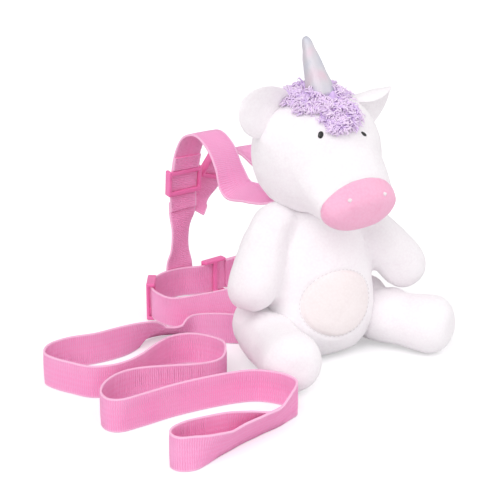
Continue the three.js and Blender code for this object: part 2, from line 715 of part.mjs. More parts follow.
const neckCut = body(gap).add(posed(face(gap)));
const shoulderRight = tailed(rightStrapRoute, rightSliderAt, -1).subtract(neckCut);
const shoulderLeft = webbing(leftStrapRoute).subtract(neckCut);
const chest = webbing(chestRoute, { layer: -1 });
const hipCut = body(gap).add(leg(legs.right, gap)).add(leg(legs.left, gap));
const belt = tailed(beltRightRoute, beltSliderLeftAt, 1).subtract(hipCut);
const beltLeft = webbing(beltLeftRoute).subtract(hipCut);

// The hand loop is sewn on where the lead passes the foot, after a number of its rows.
const seamAt = 38 / (leadRows.length - 1);
const lead = webbing(leadRows, { to: seamAt, fine: 1.5 }).subtract(hipCut);
const handLoop = webbing(leadRows, { from: onwards(leadRows, seamAt, gap), fine: 1.5 })
  .add(webbing(handleEndRows));

// Buckle: fastened, with the two ends of the belt in its slots
const buckleWide = webWidth + 2 * (railWidth + gap);
const [buckleRow] = beltRoute([{ side: 0.98, back: 0.56 }]);
const buckleMiddle = new THREE.Vector3(buckleRow.x, buckleRow.y, buckleWide / 2);
const buckleSide = level.clone().applyAxisAngle(up, turn);
const buckleAlong = new THREE.Vector3().crossVectors(up, buckleSide);
const buckle = block(buckleThick, buckleLength, buckleWide, buckleMiddle, [buckleSide, buckleAlong, up])
  .subtract(webbing(beltRightRoute, { grow: slotRoom }))
  .subtract(webbing(beltLeftRoute, { grow: slotRoom }));

// Colours and finishes
const plush = { color: 0xf6f2f3, roughness: 0.95, metalness: 0 };
const pink = { color: 0xf7a6d2, roughness: 0.75, metalness: 0 };
const rosy = { color: 0xf8bcd2, roughness: 0.9, metalness: 0 };
const lilac = { color: 0xd7b6e8, roughness: 0.95, metalness: 0 };
const silvery = { color: 0xdfe0e6, roughness: 0.35, metalness: 0.4 };
const black = { color: 0x101010, roughness: 0.3, metalness: 0 };
const pale = { color: 0xfbeef4, roughness: 0.9, metalness: 0 };
const grey = { color: 0xe3dfe4, roughness: 0.6, metalness: 0 };
const plastic = { color: 0xf08cc0, roughness: 0.4, metalness: 0 };

const pieces = {
  torso: [torso, plush],
  back_panel: [backPanel, plush],
  zip: [zip, grey],
  belly_patch: [bellyPatch, plush],
  head: [posed(head).subtract(body(gap)), plush],
  snout: [posed(snout), rosy],
  eye_right: [posed(eye(eyes.right)), black],
  eye_left: [posed(eye(eyes.left)), black],
  nostril_right: [posed(nostril(-1)), pale],
  nostril_left: [posed(nostril(1)), pale],
  ear_right: [posed(ear(ears.right)), plush],
  ear_left: [posed(ear(ears.left)), plush],
  horn: [posed(horn()), silvery],
  mane: [posed(mane), lilac],
  arm_right: [arm(arms.right), plush],
  arm_left: [arm(arms.left), plush],
  leg_right: [leg(legs.right), plush],
  leg_left: [leg(legs.left), plush],
  shoulder_strap_right: [shoulderRight, pink],
  shoulder_strap_left: [shoulderLeft, pink],
  chest_strap: [chest, pink],
  belt_right: [belt, pink],
  belt_left: [beltLeft, pink],
  buckle: [buckle, plastic],
  strap_adjuster_right: [adjuster(rightStrapRoute, rightSliderAt, -1), plastic],
  strap_adjuster_left: [adjuster(leftStrapRoute, leftSliderAt, -1), plastic],
  belt_adjuster_right: [adjuster(beltRightRoute, beltSliderRightAt), plastic],
  belt_adjuster_left: [adjuster(beltRightRoute, beltSliderLeftAt), plastic],
  lead: [lead, pink],
  hand_loop: [handLoop, pink],
};

const backpack = new THREE.Group();
for (const [name, [solid, finish]] of Object.entries(pieces)) {
  const mesh = new THREE.Mesh(geometryOf(trimmed(solid)), new THREE.MeshStandardMaterial(finish));
  mesh.name = name;
  backpack.add(mesh);
}

export default backpack;
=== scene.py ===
"""A plush unicorn backpack for a small child, with its webbing harness and lead, in a plain pale studio."""

import logging
import math
from dataclasses import dataclass, field
from enum import Enum
from typing import Callable, Iterable, Sequence

import bpy
import numpy as np
from mathutils import Matrix, Vector, noise
from mathutils.bvhtree import BVHTree


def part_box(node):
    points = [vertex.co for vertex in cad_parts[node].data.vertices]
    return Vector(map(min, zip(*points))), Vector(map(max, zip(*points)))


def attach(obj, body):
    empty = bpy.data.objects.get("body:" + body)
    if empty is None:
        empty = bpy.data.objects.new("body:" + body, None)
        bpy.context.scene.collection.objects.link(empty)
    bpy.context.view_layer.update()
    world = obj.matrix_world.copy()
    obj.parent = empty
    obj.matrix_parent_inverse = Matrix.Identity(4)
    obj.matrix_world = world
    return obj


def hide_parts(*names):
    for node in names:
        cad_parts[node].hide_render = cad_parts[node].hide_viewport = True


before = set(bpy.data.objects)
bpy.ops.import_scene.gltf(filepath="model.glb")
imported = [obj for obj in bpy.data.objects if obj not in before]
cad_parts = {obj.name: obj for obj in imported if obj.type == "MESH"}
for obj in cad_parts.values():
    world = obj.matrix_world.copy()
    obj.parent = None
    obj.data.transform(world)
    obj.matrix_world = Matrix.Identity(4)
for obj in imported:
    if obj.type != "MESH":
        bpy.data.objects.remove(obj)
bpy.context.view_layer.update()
MM = 0.001
UP = Vector((0, 0, 1))
log = logging.getLogger("backpack")


# Working on one object at a time


def only(piece: bpy.types.Object) -> None:
    """Selects one object and makes it active.

    Args:
        piece: The object that the next operators work on.
    """
    bpy.ops.object.select_all(action="DESELECT")
    piece.select_set(True)
    bpy.context.view_layer.objects.active = piece


def settled(piece: bpy.types.Object) -> bpy.types.Object:
    """Applies the modifiers of an object in their order, and then its place.

    Args:
        piece: The object to settle.

    Returns:
        The same object, unturned and unscaled at the origin.
    """
    only(piece)
    for modifier in list(piece.modifiers):
        bpy.ops.object.modifier_apply(modifier=modifier.name)
    bpy.ops.object.transform_apply(location=True, rotation=True, scale=True)
    return piece


def fused(name: str, parts: Sequence[bpy.types.Object]) -> bpy.types.Object:
    """Joins several objects into the first and names it.

    Args:
        name: Name of the joined object.
        parts: The objects, settled.

    Returns:
        The joined object.
    """
    only(parts[0])
    for part in parts[1:]:
        part.select_set(True)
    if len(parts) > 1:
        bpy.ops.object.join()
    parts[0].name = name
    return parts[0]


def tree_of(piece: bpy.types.Object) -> BVHTree:
    """Returns a search tree over the faces of an object at the origin."""
    mesh = piece.data
    return BVHTree.FromPolygons([v.co for v in mesh.vertices], [p.vertices[:] for p in mesh.polygons])


def shaped(kind: str, **settings: object) -> bpy.types.Object:
    """Adds a primitive while nothing else is selected.

    Args:
        kind: The primitive, as its operator names it.
        **settings: The operator's settings.

    Returns:
        The new object.
    """
    bpy.ops.object.select_all(action="DESELECT")
    getattr(bpy.ops.mesh, f"primitive_{kind}_add")(**settings)
    return bpy.context.active_object


def edited(piece: bpy.types.Object, tool: Callable, **settings: object) -> bpy.types.Object:
    """Runs an edit mode operator on the whole mesh of an object.

    Args:
        piece: The object.
        tool: The operator.
        **settings: The operator's settings.

    Returns:
        The same object.
    """
    only(piece)
    bpy.ops.object.mode_set(mode="EDIT")
    bpy.ops.mesh.select_all(action="SELECT")
    tool(**settings)
    bpy.ops.object.mode_set(mode="OBJECT")
    return piece


def faced_outward(piece: bpy.types.Object) -> bpy.types.Object:
    """Turns all faces of a closed object outward and returns it."""
    return edited(piece, bpy.ops.mesh.normals_make_consistent, inside=False)


def on_table(piece: bpy.types.Object) -> bpy.types.Object:
    """Lifts the points that lie below the table and returns the object."""
    for vertex in piece.data.vertices:
        vertex.co.z = max(vertex.co.z, 0.0)
    return piece


def new_object(name: str, points: np.ndarray, faces: np.ndarray) -> bpy.types.Object:
    """Makes an object out of points and faces that all have as many corners.

    Args:
        name: Name of the object.
        points: Array of n by 3 coordinates, in metres.
        faces: Array of m by 3 or m by 4 point numbers.

    Returns:
        The new object in the scene.
    """
    mesh = bpy.data.meshes.new(name)
    mesh.vertices.add(len(points))
    mesh.vertices.foreach_set("co", points.astype(np.float32).ravel())
    mesh.loops.add(faces.size)
    mesh.loops.foreach_set("vertex_index", faces.astype(np.int32).ravel())
    mesh.polygons.add(len(faces))
    mesh.polygons.foreach_set("loop_start", np.arange(0, faces.size, faces.shape[1], dtype=np.int32))
    mesh.update(calc_edges=True)
    mesh.validate()
    piece = bpy.data.objects.new(name, mesh)
    bpy.context.scene.collection.objects.link(piece)
    return piece


# Shader node groups, shared by the materials


class NodeSheet:
    """Adds and links the nodes of one tree by short calls."""

    def __init__(self, tree: bpy.types.NodeTree) -> None:
        """Starts on a tree.

        Args:
            tree: The node tree of a material or a group.
        """
        self.tree = tree

    def add(self, kind: str, settings: dict | None = None, **values: object) -> bpy.types.Node:
        """Adds a node.

        Args:
            kind: The node's type name, without ShaderNode.
            settings: Attributes of the node, such as its operation.
            **values: Input sockets by name, with _ for a space, or i0, i1 by number: a value or an output socket.

        Returns:
            The new node.
        """
        node = self.tree.nodes.new("ShaderNode" + kind)
        for key, value in (settings or {}).items():
            setattr(node, key, value)
        for key, value in values.items():
            numbered = key[0] == "i" and key[1:].isdigit()
            socket = node.inputs[int(key[1:]) if numbered else key.replace("_", " ")]
            if isinstance(value, bpy.types.NodeSocket):
                self.tree.links.new(value, socket)
            else:
                socket.default_value = value
        return node

    def maths(self, operation: str, *values: object) -> bpy.types.NodeSocket:
        """Adds a Math node and returns its output.

        Args:
            operation: The node's operation.
            *values: Its inputs in order, each a number or an output socket.

        Returns:
            The result socket.
        """
        node = self.add("Math", {"operation": operation}, **{f"i{k}": value for k, value in enumerate(values)})
        return node.outputs[0]

    def mixed(self, factor: object, first: object, second: object) -> bpy.types.NodeSocket:
        """Mixes two colours.

        Args:
            factor: Share of the second colour, a number or a socket.
            first: A colour or a socket.
            second: A colour or a socket.

        Returns:
            The mixed colour's socket.
        """
        node = self.add("Mix", {"data_type": "RGBA"}, i0=factor, i6=first, i7=second)
        return node.outputs[2]


def new_group(name: str, inputs: Iterable[tuple[str, str, float]], outputs: Iterable[tuple[str, str]]) -> tuple:
    """Makes an empty shader group with its sockets.

    Args:
        name: Name of the group.
        inputs: Socket type, name and default of each input.
        outputs: Socket type and name of each output.

    Returns:
        The group, a NodeSheet on it, its input node and its output node.
    """
    group = bpy.data.node_groups.new(name, "ShaderNodeTree")
    for kind, label, default in inputs:
        socket = group.interface.new_socket(name=label, in_out="INPUT", socket_type="NodeSocket" + kind)
        if kind == "Float":
            socket.default_value = default
    for kind, label in outputs:
        group.interface.new_socket(name=label, in_out="OUTPUT", socket_type="NodeSocket" + kind)
    return group, NodeSheet(group), group.nodes.new("NodeGroupInput"), group.nodes.new("NodeGroupOutput")


def pile_group() -> bpy.types.NodeTree:
    """Builds the group for short pile: a height of fine tufts on soft lumps, and a mask of the thin spots."""
    group, sheet, source, sink = new_group(
        "short_pile",
        [("Vector", "Place", 0), ("Float", "Tuft", 900.0), ("Float", "Lump", 70.0), ("Float", "Depth", 1.0)],
        [("Float", "Height"), ("Float", "Thin")],
    )
    place, tuft, lump, depth = (source.outputs[k] for k in range(4))
    fine = sheet.add("TexNoise", Vector=place, Scale=tuft, Detail=3.0, Roughness=0.7)
    combed = sheet.add("TexVoronoi", {"feature": "F1"}, Vector=place, Scale=sheet.maths("MULTIPLY", tuft, 0.55))
    soft = sheet.add("TexNoise", Vector=place, Scale=lump, Detail=2.0, Roughness=0.5)
    grain = sheet.maths("ADD", fine.outputs[0], sheet.maths("MULTIPLY", combed.outputs[0], -0.45))
    lumps = sheet.maths("MULTIPLY", soft.outputs[0], 1.4)
    height = sheet.maths("ADD", sheet.maths("MULTIPLY", grain, depth), lumps)
    thin = sheet.maths("MULTIPLY", sheet.maths("SUBTRACT", 1.0, soft.outputs[0]), combed.outputs[0])
    group.links.new(height, sink.inputs[0])
    group.links.new(thin, sink.inputs[1])
    return group


def weave_group() -> bpy.types.NodeTree:
    """Builds the group for webbing, on a UV map in metres: U runs across and V along it."""
    group, sheet, source, sink = new_group(
        "webbing_weave",
        [("Vector", "Place", 0), ("Float", "Width", 25 * MM), ("Float", "Rib", 1.6 * MM),
         ("Float", "Thread", 1.0 * MM)],
        [("Float", "Height"), ("Float", "FurrowShade"), ("Float", "Selvage")],
    )
    place, width, rib, thread = (source.outputs[k] for k in range(4))
    parts = sheet.add("SeparateXYZ", Vector=place)
    across, along = parts.outputs[0], parts.outputs[1]
    column = sheet.maths("DIVIDE", across, thread)
    wander = sheet.add("TexNoise", Vector=place, Scale=260.0, Detail=1.0)
    slanted = sheet.maths("PINGPONG", column, 2.0)
    row = sheet.maths("ADD", sheet.maths("DIVIDE", along, rib), sheet.maths("MULTIPLY", slanted, 0.1))
    row = sheet.maths("ADD", row, sheet.maths("MULTIPLY", wander.outputs[0], 0.1))
    ribs, threads = (
        sheet.maths("ABSOLUTE", sheet.maths("SINE", sheet.maths("MULTIPLY", value, math.pi))) for value in (row, column)
    )
    raised = sheet.maths("ADD", 0.6, sheet.maths("MULTIPLY", threads, 0.4))
    woven = sheet.maths("MULTIPLY", sheet.maths("POWER", ribs, 0.6), raised)
    half = sheet.maths("DIVIDE", width, 2.0)
    from_middle = sheet.maths("ABSOLUTE", sheet.maths("SUBTRACT", across, half))
    edge = sheet.maths("LESS_THAN", sheet.maths("SUBTRACT", half, from_middle), 1.1 * MM)
    height = sheet.maths("MAXIMUM", woven, sheet.maths("MULTIPLY", edge, 1.1))
    group.links.new(height, sink.inputs[0])
    # The second output is the share of painted shade in the furrows between the ribs.
    group.links.new(sheet.maths("SUBTRACT", 1.0, woven), sink.inputs[1])
    group.links.new(edge, sink.inputs[2])
    return group


def mottle_group() -> bpy.types.NodeTree:
    """Builds the group for slow changes of tone over a surface."""
    group, sheet, source, sink = new_group(
        "mottle", [("Vector", "Place", 0), ("Float", "Size", 30.0)], [("Float", "Tone")]
    )
    cloud = sheet.add("TexNoise", Vector=source.outputs[0], Scale=source.outputs[1], Detail=4.0, Roughness=0.55)
    spread = sheet.add("MapRange", i0=cloud.outputs[0], i1=0.35, i2=0.65)
    group.links.new(spread.outputs[0], sink.inputs[0])
    return group


PILE = pile_group()
WEAVE = weave_group()
MOTTLE = mottle_group()

Colour = tuple[float, float, float]


def srgb(red: int, green: int, blue: int) -> Colour:
    """Returns a colour of 0 to 255 as linear shares."""
    shares = (channel / 255 for channel in (red, green, blue))
    return tuple(c / 12.92 if c <= 0.04045 else ((c + 0.055) / 1.055) ** 2.4 for c in shares)


def started(name: str, roughness: float, **shader: float) -> tuple[bpy.types.Material, NodeSheet, bpy.types.Node]:
    """Starts a material with its shader.

    Args:
        name: Name of the material.
        roughness: Roughness of the whole surface.
        **shader: Further sockets of the Principled BSDF, with _ for a space.

    Returns:
        The material, a NodeSheet on its tree and the shader node.
    """
    material = bpy.data.materials.new(name)
    material.use_nodes = True
    shader_node = material.node_tree.nodes["Principled BSDF"]
    shader_node.inputs["Roughness"].default_value = roughness
    for key, value in shader.items():
        shader_node.inputs[key.replace("_", " ")].default_value = value
    return material, NodeSheet(material.node_tree), shader_node


def completed(
    material: bpy.types.Material,
    shader: bpy.types.Node,
    colour: bpy.types.NodeSocket,
    bump: bpy.types.Node,
    rough: bpy.types.Node | None = None,
) -> bpy.types.Material:
    """Links the last nodes of a material to its shader.

    Args:
        material: The material.
        shader: Its shader.
        colour: Socket of the base colour.
        bump: The bump node.
        rough: The node that gives the roughness, or None where it is the same all over.

    Returns:
        The same material.
    """
    links = material.node_tree.links
    links.new(colour, shader.inputs["Base Color"])
    links.new(bump.outputs[0], shader.inputs["Normal"])
    if rough:
        links.new(rough.outputs[0], shader.inputs["Roughness"])
    return material


@dataclass(frozen=True)
class PlushFinish:
    """Short plush pile, with softer tone where it is thin."""

    name: str
    colour: Colour
    shade: Colour
    tuft: float = 900.0
    depth: float = 1.0
    bump: float = 0.35

    def material(self) -> bpy.types.Material:
        """Builds the material."""
        material, sheet, shader = started(
            self.name, 0.95, Sheen_Weight=0.35, Sheen_Roughness=0.45, Specular_IOR_Level=0.15
        )
        place = sheet.add("TexCoord").outputs["Object"]
        pile = sheet.add("Group", {"node_tree": PILE}, Place=place, Tuft=self.tuft, Depth=self.depth)
        tone = sheet.add("Group", {"node_tree": MOTTLE}, Place=place, Size=26.0)
        thin = sheet.maths("MULTIPLY", pile.outputs["Thin"], 0.7)
        share = sheet.maths("ADD", thin, sheet.maths("MULTIPLY", tone.outputs[0], 0.08))
        colour = sheet.mixed(share, (*self.colour, 1), (*self.shade, 1))
        bump = sheet.add("Bump", Strength=self.bump, Distance=0.6 * MM, Height=pile.outputs["Height"])
        return completed(material, shader, colour, bump)


@dataclass(frozen=True)
class CurlFinish:
    """Long curly pile, whose tone comes from each curl's tone attribute: low at the curl's root as painted shade among
    the curls, and varied at random from curl to curl.
    """

    name: str
    light: Colour
    dark_and_root_shade: Colour

    def material(self) -> bpy.types.Material:
        """Builds the material."""
        material, sheet, shader = started(self.name, 0.8, Sheen_Weight=0.5, Sheen_Roughness=0.5, Specular_IOR_Level=0.2)
        place = sheet.add("TexCoord").outputs["Object"]
        tone = sheet.add("Attribute", {"attribute_name": "tone"}).outputs["Fac"]
        cloud = sheet.add("Group", {"node_tree": MOTTLE}, Place=place, Size=110.0)
        share = sheet.maths("ADD", tone, sheet.maths("MULTIPLY", cloud.outputs[0], 0.2))
        fine = sheet.add("TexNoise", Vector=place, Scale=1600.0, Detail=2.0)
        bump = sheet.add("Bump", Strength=0.3, Distance=0.3 * MM, Height=fine.outputs[0])
        # Low tone gives the darker colour: painted shade at the curls' roots and on the backing, and darker curls at
        # random.
        colour = sheet.mixed(share, (*self.dark_and_root_shade, 1), (*self.light, 1))
        return completed(material, shader, colour, bump)


@dataclass(frozen=True)
class WebbingFinish:
    """Woven polypropylene webbing with cross ribs, painted shade in the furrows between them, and a smoother selvage.
    """

    name: str
    colour: Colour
    furrow_shade: Colour
    selvage: Colour
    width: float

    def material(self) -> bpy.types.Material:
        """Builds the material."""
        material, sheet, shader = started(
            self.name, 0.66, Sheen_Weight=0.08, Sheen_Roughness=0.4, Specular_IOR_Level=0.25
        )
        texture = sheet.add("TexCoord")
        weave = sheet.add("Group", {"node_tree": WEAVE}, Place=texture.outputs["UV"], Width=self.width)
        tone = sheet.add("Group", {"node_tree": MOTTLE}, Place=texture.outputs["Object"], Size=40.0)
        # Painted shade: the furrows between the ribs are mixed towards the darker furrow colour.
        furrow_shade = sheet.maths("MULTIPLY", weave.outputs["FurrowShade"], 0.75)
        woven = sheet.mixed(furrow_shade, (*self.colour, 1), (*self.furrow_shade, 1))
        woven = sheet.mixed(sheet.maths("MULTIPLY", tone.outputs[0], 0.12), woven, (*self.selvage, 1))
        colour = sheet.mixed(sheet.maths("MULTIPLY", weave.outputs["Selvage"], 0.7), woven, (*self.selvage, 1))
        bump = sheet.add("Bump", Strength=0.8, Distance=0.4 * MM, Height=weave.outputs["Height"])
        return completed(material, shader, colour, bump)


@dataclass(frozen=True)
class MouldedFinish:
    """Moulded plastic with a faint grain, or a glossy eye."""

    name: str
    colour: Colour
    shade: Colour
    roughness: float
    grain: float
    coat: float = 0.0

    def material(self) -> bpy.types.Material:
        """Builds the material."""
        material, sheet, shader = started(self.name, self.roughness, Coat_Weight=self.coat, Coat_Roughness=0.08)
        place = sheet.add("TexCoord").outputs["Object"]
        tone = sheet.add("Group", {"node_tree": MOTTLE}, Place=place, Size=90.0)
        fine = sheet.add("TexNoise", Vector=place, Scale=1400.0, Detail=2.0)
        bump = sheet.add("Bump", Strength=self.grain, Distance=0.1 * MM, Height=fine.outputs[0])
        rough = sheet.add("MapRange", i0=fine.outputs[0], i3=self.roughness - 0.05, i4=self.roughness + 0.08)
        colour = sheet.mixed(sheet.maths("MULTIPLY", tone.outputs[0], 0.5), (*self.colour, 1), (*self.shade, 1))
        return completed(material, shader, colour, bump, rough)


@dataclass(frozen=True)
class FoilFinish:
    """Silvery cloth with a faint play of pink and blue, and a crinkled surface."""

    name: str
    colour: Colour
    pink: Colour
    blue: Colour

    def material(self) -> bpy.types.Material:
        """Builds the material."""
        material, sheet, shader = started(self.name, 0.55, Metallic=0.3, Sheen_Weight=0.2)
        place = sheet.add("TexCoord").outputs["Object"]
        stretched = sheet.add("Mapping", Vector=place, Scale=(1, 1, 0.4)).outputs[0]
        crinkle = sheet.add("TexNoise", Vector=stretched, Scale=240.0, Detail=4.0, Roughness=0.6, Distortion=0.8)
        play = sheet.add("TexNoise", Vector=stretched, Scale=75.0, Detail=1.0)
        first = sheet.add("MapRange", i0=play.outputs[0], i1=0.5, i2=0.68)
        second = sheet.add("MapRange", i0=play.outputs[0], i1=0.48, i2=0.3)
        colour = sheet.mixed(sheet.maths("MULTIPLY", first.outputs[0], 0.7), (*self.colour, 1), (*self.pink, 1))
        colour = sheet.mixed(sheet.maths("MULTIPLY", second.outputs[0], 0.6), colour, (*self.blue, 1))
        glitter = sheet.add("TexVoronoi", Vector=place, Scale=1500.0)
        rough = sheet.add("MapRange", i0=glitter.outputs[0], i3=0.42, i4=0.66)
        height = sheet.maths("ADD", crinkle.outputs[0], sheet.maths("MULTIPLY", glitter.outputs[0], 0.12))
        bump = sheet.add("Bump", Strength=0.6, Distance=0.8 * MM, Height=height)
        return completed(material, shader, colour, bump, rough)


@dataclass(frozen=True)
class ThreadFinish:
    """Twisted sewing thread."""

    name: str
    colour: Colour

    def material(self) -> bpy.types.Material:
        """Builds the material."""
        material, sheet, shader = started(self.name, 0.7, Sheen_Weight=0.3)
        place = sheet.add("TexCoord").outputs["Object"]
        twist = sheet.add("TexWave", {"bands_direction": "DIAGONAL"}, Vector=place, Scale=900.0, Distortion=1.0)
        darker = tuple(c * 0.82 for c in self.colour)
        colour = sheet.mixed(sheet.maths("MULTIPLY", twist.outputs["Fac"], 0.6), (*self.colour, 1), (*darker, 1))
        bump = sheet.add("Bump", Strength=0.4, Distance=0.1 * MM, Height=twist.outputs["Fac"])
        return completed(material, shader, colour, bump)


class Finish(Enum):
    """The finishes of the backpack."""

    WHITE = PlushFinish("white_pile", srgb(252, 249, 251), srgb(240, 231, 237))
    WARM = PlushFinish("warm_white_pile", srgb(250, 242, 242), srgb(238, 226, 226))
    ROSY = PlushFinish("rosy_pile", srgb(251, 192, 219), srgb(244, 156, 194), bump=0.45)
    # The lilac curls' darker colour is painted shade at the curls' roots and on the backing, and also the tone of the
    # darker curls.
    LILAC = CurlFinish("lilac_curls", srgb(250, 230, 255), srgb(208, 172, 240))
    # The pink webbing's second colour is painted shade for the furrows between its ribs.
    PINK = WebbingFinish(
        "pink_webbing", srgb(255, 180, 223), srgb(255, 120, 186), srgb(255, 206, 233), 25 * MM
    )
    FITTING = MouldedFinish("pink_plastic", srgb(248, 128, 188), srgb(240, 108, 172), 0.34, 0.15)
    EYE = MouldedFinish("black_eye", srgb(10, 9, 10), srgb(18, 16, 18), 0.3, 0.05, coat=0.25)
    SILVER = FoilFinish("silver_cloth", srgb(214, 210, 217), srgb(226, 198, 212), srgb(190, 200, 216))
    ZIP = MouldedFinish("zip_teeth", srgb(246, 243, 245), srgb(232, 226, 230), 0.5, 0.4)
    ZIP_TAPE = ThreadFinish("zip_tape", srgb(240, 236, 239))
    PALE_THREAD = ThreadFinish("pale_thread", srgb(255, 243, 248))
    WHITE_THREAD = ThreadFinish("white_thread", srgb(238, 230, 233))
    PINK_THREAD = ThreadFinish("pink_thread", srgb(250, 175, 215))

    def made(self) -> bpy.types.Material:
        """Returns this finish's material, built once."""
        if self not in BUILT:
            BUILT[self] = self.value.material()
        return BUILT[self]


BUILT: dict[Finish, bpy.types.Material] = {}


def dressed(
    piece: bpy.types.Object, finish: Finish, nodes: Sequence[str] = ()
) -> bpy.types.Object:
    """Gives a piece its material, slot, body and the nodes that it stands for.

    Args:
        piece: The finished piece.
        finish: Its finish.
        nodes: The plain nodes that it replaces.

    Returns:
        The same piece.
    """
    piece.data.materials.clear()
    piece.data.materials.append(finish.made())
    for polygon in piece.data.polygons:
        polygon.use_smooth = True
    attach(piece, "root")
    if nodes:
        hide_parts(*nodes)
    log.info("%s: %d faces", piece.name, len(piece.data.polygons))
    return piece


# Stuffed pieces


@dataclass
class Seam:
    """A sewn seam where the cloth dips, given by a distance from it."""

    distance: Callable[[Vector], float]
    depth: float = 0.9 * MM
    width: float = 2.4 * MM


@dataclass
class Stuffed:
    """A stuffed plush form over one or more plain nodes."""

    name: str
    nodes: Sequence[str]
    voxel: float = 4 * MM
    softening: int = 6
    puff: float = 1.6 * MM
    levels: int = 2
    lumps: float = 0.5 * MM
    coarse: float = 55.0
    fine: float = 160.0
    pressure: float = 4.0
    frames: int = 20
    seams: list[Seam] = field(default_factory=list)
    filling: Callable[[], list[bpy.types.Object]] = list

    def plain(self) -> bpy.types.Object:
        """Copies the nodes into one new object and merges their loose triangles.

        Returns:
            The copy.
        """
        parts = []
        for node in self.nodes:
            part = bpy.data.objects.new(self.name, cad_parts[node].data.copy())
            bpy.context.scene.collection.objects.link(part)
            parts.append(part)
        piece = edited(fused(self.name, parts), bpy.ops.mesh.remove_doubles, threshold=0.002 * MM)
        return fused(self.name, [piece, *self.filling()])

    def stuffed(self) -> bpy.types.Object:
        """Rounds the copy, presses the filling into it and subdivides it.

        Returns:
            The stuffed object, without a material.
        """
        piece = self.plain()
        remesh = piece.modifiers.new("even", "REMESH")
        remesh.mode = "VOXEL"
        remesh.voxel_size = self.voxel
        smooth = piece.modifiers.new("rounded", "SMOOTH")
        smooth.factor = 0.5
        smooth.iterations = self.softening
        settled(piece)
        if self.puff:
            self.pressed(piece)
        if self.levels:
            finer = piece.modifiers.new("finer", "SUBSURF")
            finer.levels = finer.render_levels = self.levels
            settled(piece)
        self.moved(piece)
        return piece

    def pressed(self, piece: bpy.types.Object) -> None:
        """Blows the cloth out by a simulated pressure, and caps how far each point may go.

        Args:
            piece: The evenly meshed object.
        """
        before = [v.co.copy() for v in piece.data.vertices]
        cloth = piece.modifiers.new("filling", "CLOTH")
        cloth.settings.use_pressure = True
        cloth.settings.uniform_pressure_force = self.pressure
        cloth.settings.effector_weights.gravity = 0.0
        cloth.settings.quality = 4
        cloth.point_cache.frame_start = 1
        cloth.point_cache.frame_end = self.frames
        scene = bpy.context.scene
        for number in range(1, self.frames + 1):
            scene.frame_set(number)
        only(piece)
        bpy.ops.object.modifier_apply(modifier=cloth.name)
        scene.frame_set(1)
        for vertex, old in zip(piece.data.vertices, before):
            step = vertex.co - old
            if step.length > self.puff:
                step *= self.puff / step.length
            vertex.co = old + step
        on_table(piece)

    def moved(self, piece: bpy.types.Object) -> None:
        """Gives the fine mesh its soft lumps and sinks its seams.

        Args:
            piece: The subdivided object.
        """
        mesh = piece.data
        normals = [v.normal.copy() for v in mesh.vertices]
        for vertex, normal in zip(mesh.vertices, normals):
            place = vertex.co
            rise = self.lumps * (noise.noise(place * self.coarse) + 0.4 * noise.noise(place * self.fine))
            for seam in self.seams:
                share = abs(seam.distance(place)) / seam.width
                if share < 1:
                    rise -= seam.depth * (1 - share) ** 2
            vertex.co = place + normal * rise
        on_table(piece)


# Stitches


@dataclass
class Stitching:
    """Rows of short stitches, each a thin rounded bar."""

    length: float = 2.6 * MM
    space: float = 1.1 * MM
    thick: float = 0.55 * MM
    sides: int = 6

    def run(self, path: Sequence[tuple[Vector, Vector]]) -> list[tuple[Vector, Vector, Vector]]:
        """Divides a path into stitches.

        Args:
            path: Points on the surface, each with the surface's normal.

        Returns:
            Start, end and normal of each stitch.
        """
        stitches = []
        start, left, sewing = path[0], self.length, True
        for (first, _), (second, normal) in zip(path, path[1:]):
            whole = (second - first).length
            done = 0.0
            while whole - done > left:
                done += left
                spot = first.lerp(second, done / whole)
                if sewing:
                    stitches.append((start[0], spot, normal))
                start, sewing = (spot, normal), not sewing
                left = self.length if sewing else self.space
            left -= whole - done
        return stitches

    def bar(self, stitch: tuple[Vector, Vector, Vector]) -> tuple[list[Vector], list[tuple[int, ...]]]:
        """Shapes one stitch that dips into the cloth at both ends.

        Args:
            stitch: Its start, end and normal.

        Returns:
            Its points and its faces of four corners.
        """
        start, end, normal = stitch
        along = (end - start).normalized()
        side = along.cross(normal).normalized()
        points, faces = [], []
        profile = [(0.0, 0.3, -0.5), (0.18, 0.9, 0.1), (0.5, 1.0, 0.3), (0.82, 0.9, 0.1), (1.0, 0.3, -0.5)]
        for share, thick, rise in profile:
            centre = start.lerp(end, share) + normal * rise * self.thick
            for k in range(self.sides):
                angle = 2 * math.pi * k / self.sides
                offset = side * math.cos(angle) + normal * math.sin(angle)
                points.append(centre + offset * thick * self.thick / 2)
        for ring in range(len(profile) - 1):
            for k in range(self.sides):
                near, far = ring * self.sides, (ring + 1) * self.sides
                following = (k + 1) % self.sides
                faces.append((near + k, near + following, far + following, far + k))
        last = (len(profile) - 1) * self.sides
        half = self.sides // 2
        for k in range(half - 1):
            faces.append((k + 1, k, self.sides - 1 - k, self.sides - 2 - k))
            faces.append((last + k, last + k + 1, last + self.sides - 2 - k, last + self.sides - 1 - k))
        return points, faces

    def sewn(self, name: str, stitches: Sequence[tuple[Vector, Vector, Vector]]) -> bpy.types.Object:
        """Makes one object of many stitches.

        Args:
            name: Name of the object.
            stitches: Start, end and normal of each.

        Returns:
            The object, without a material.
        """
        points, faces = [], []
        for stitch in stitches:
            bar_points, bar_faces = self.bar(stitch)
            faces.extend(tuple(k + len(points) for k in face) for face in bar_faces)
            points.extend(bar_points)
        return faced_outward(new_object(name, np.array(points), np.array(faces)))


# Places that several sub-assemblies share


def turned(x: float, y: float, z: float) -> Vector:
    """Returns a direction of length 1."""
    return Vector((x, y, z)).normalized()


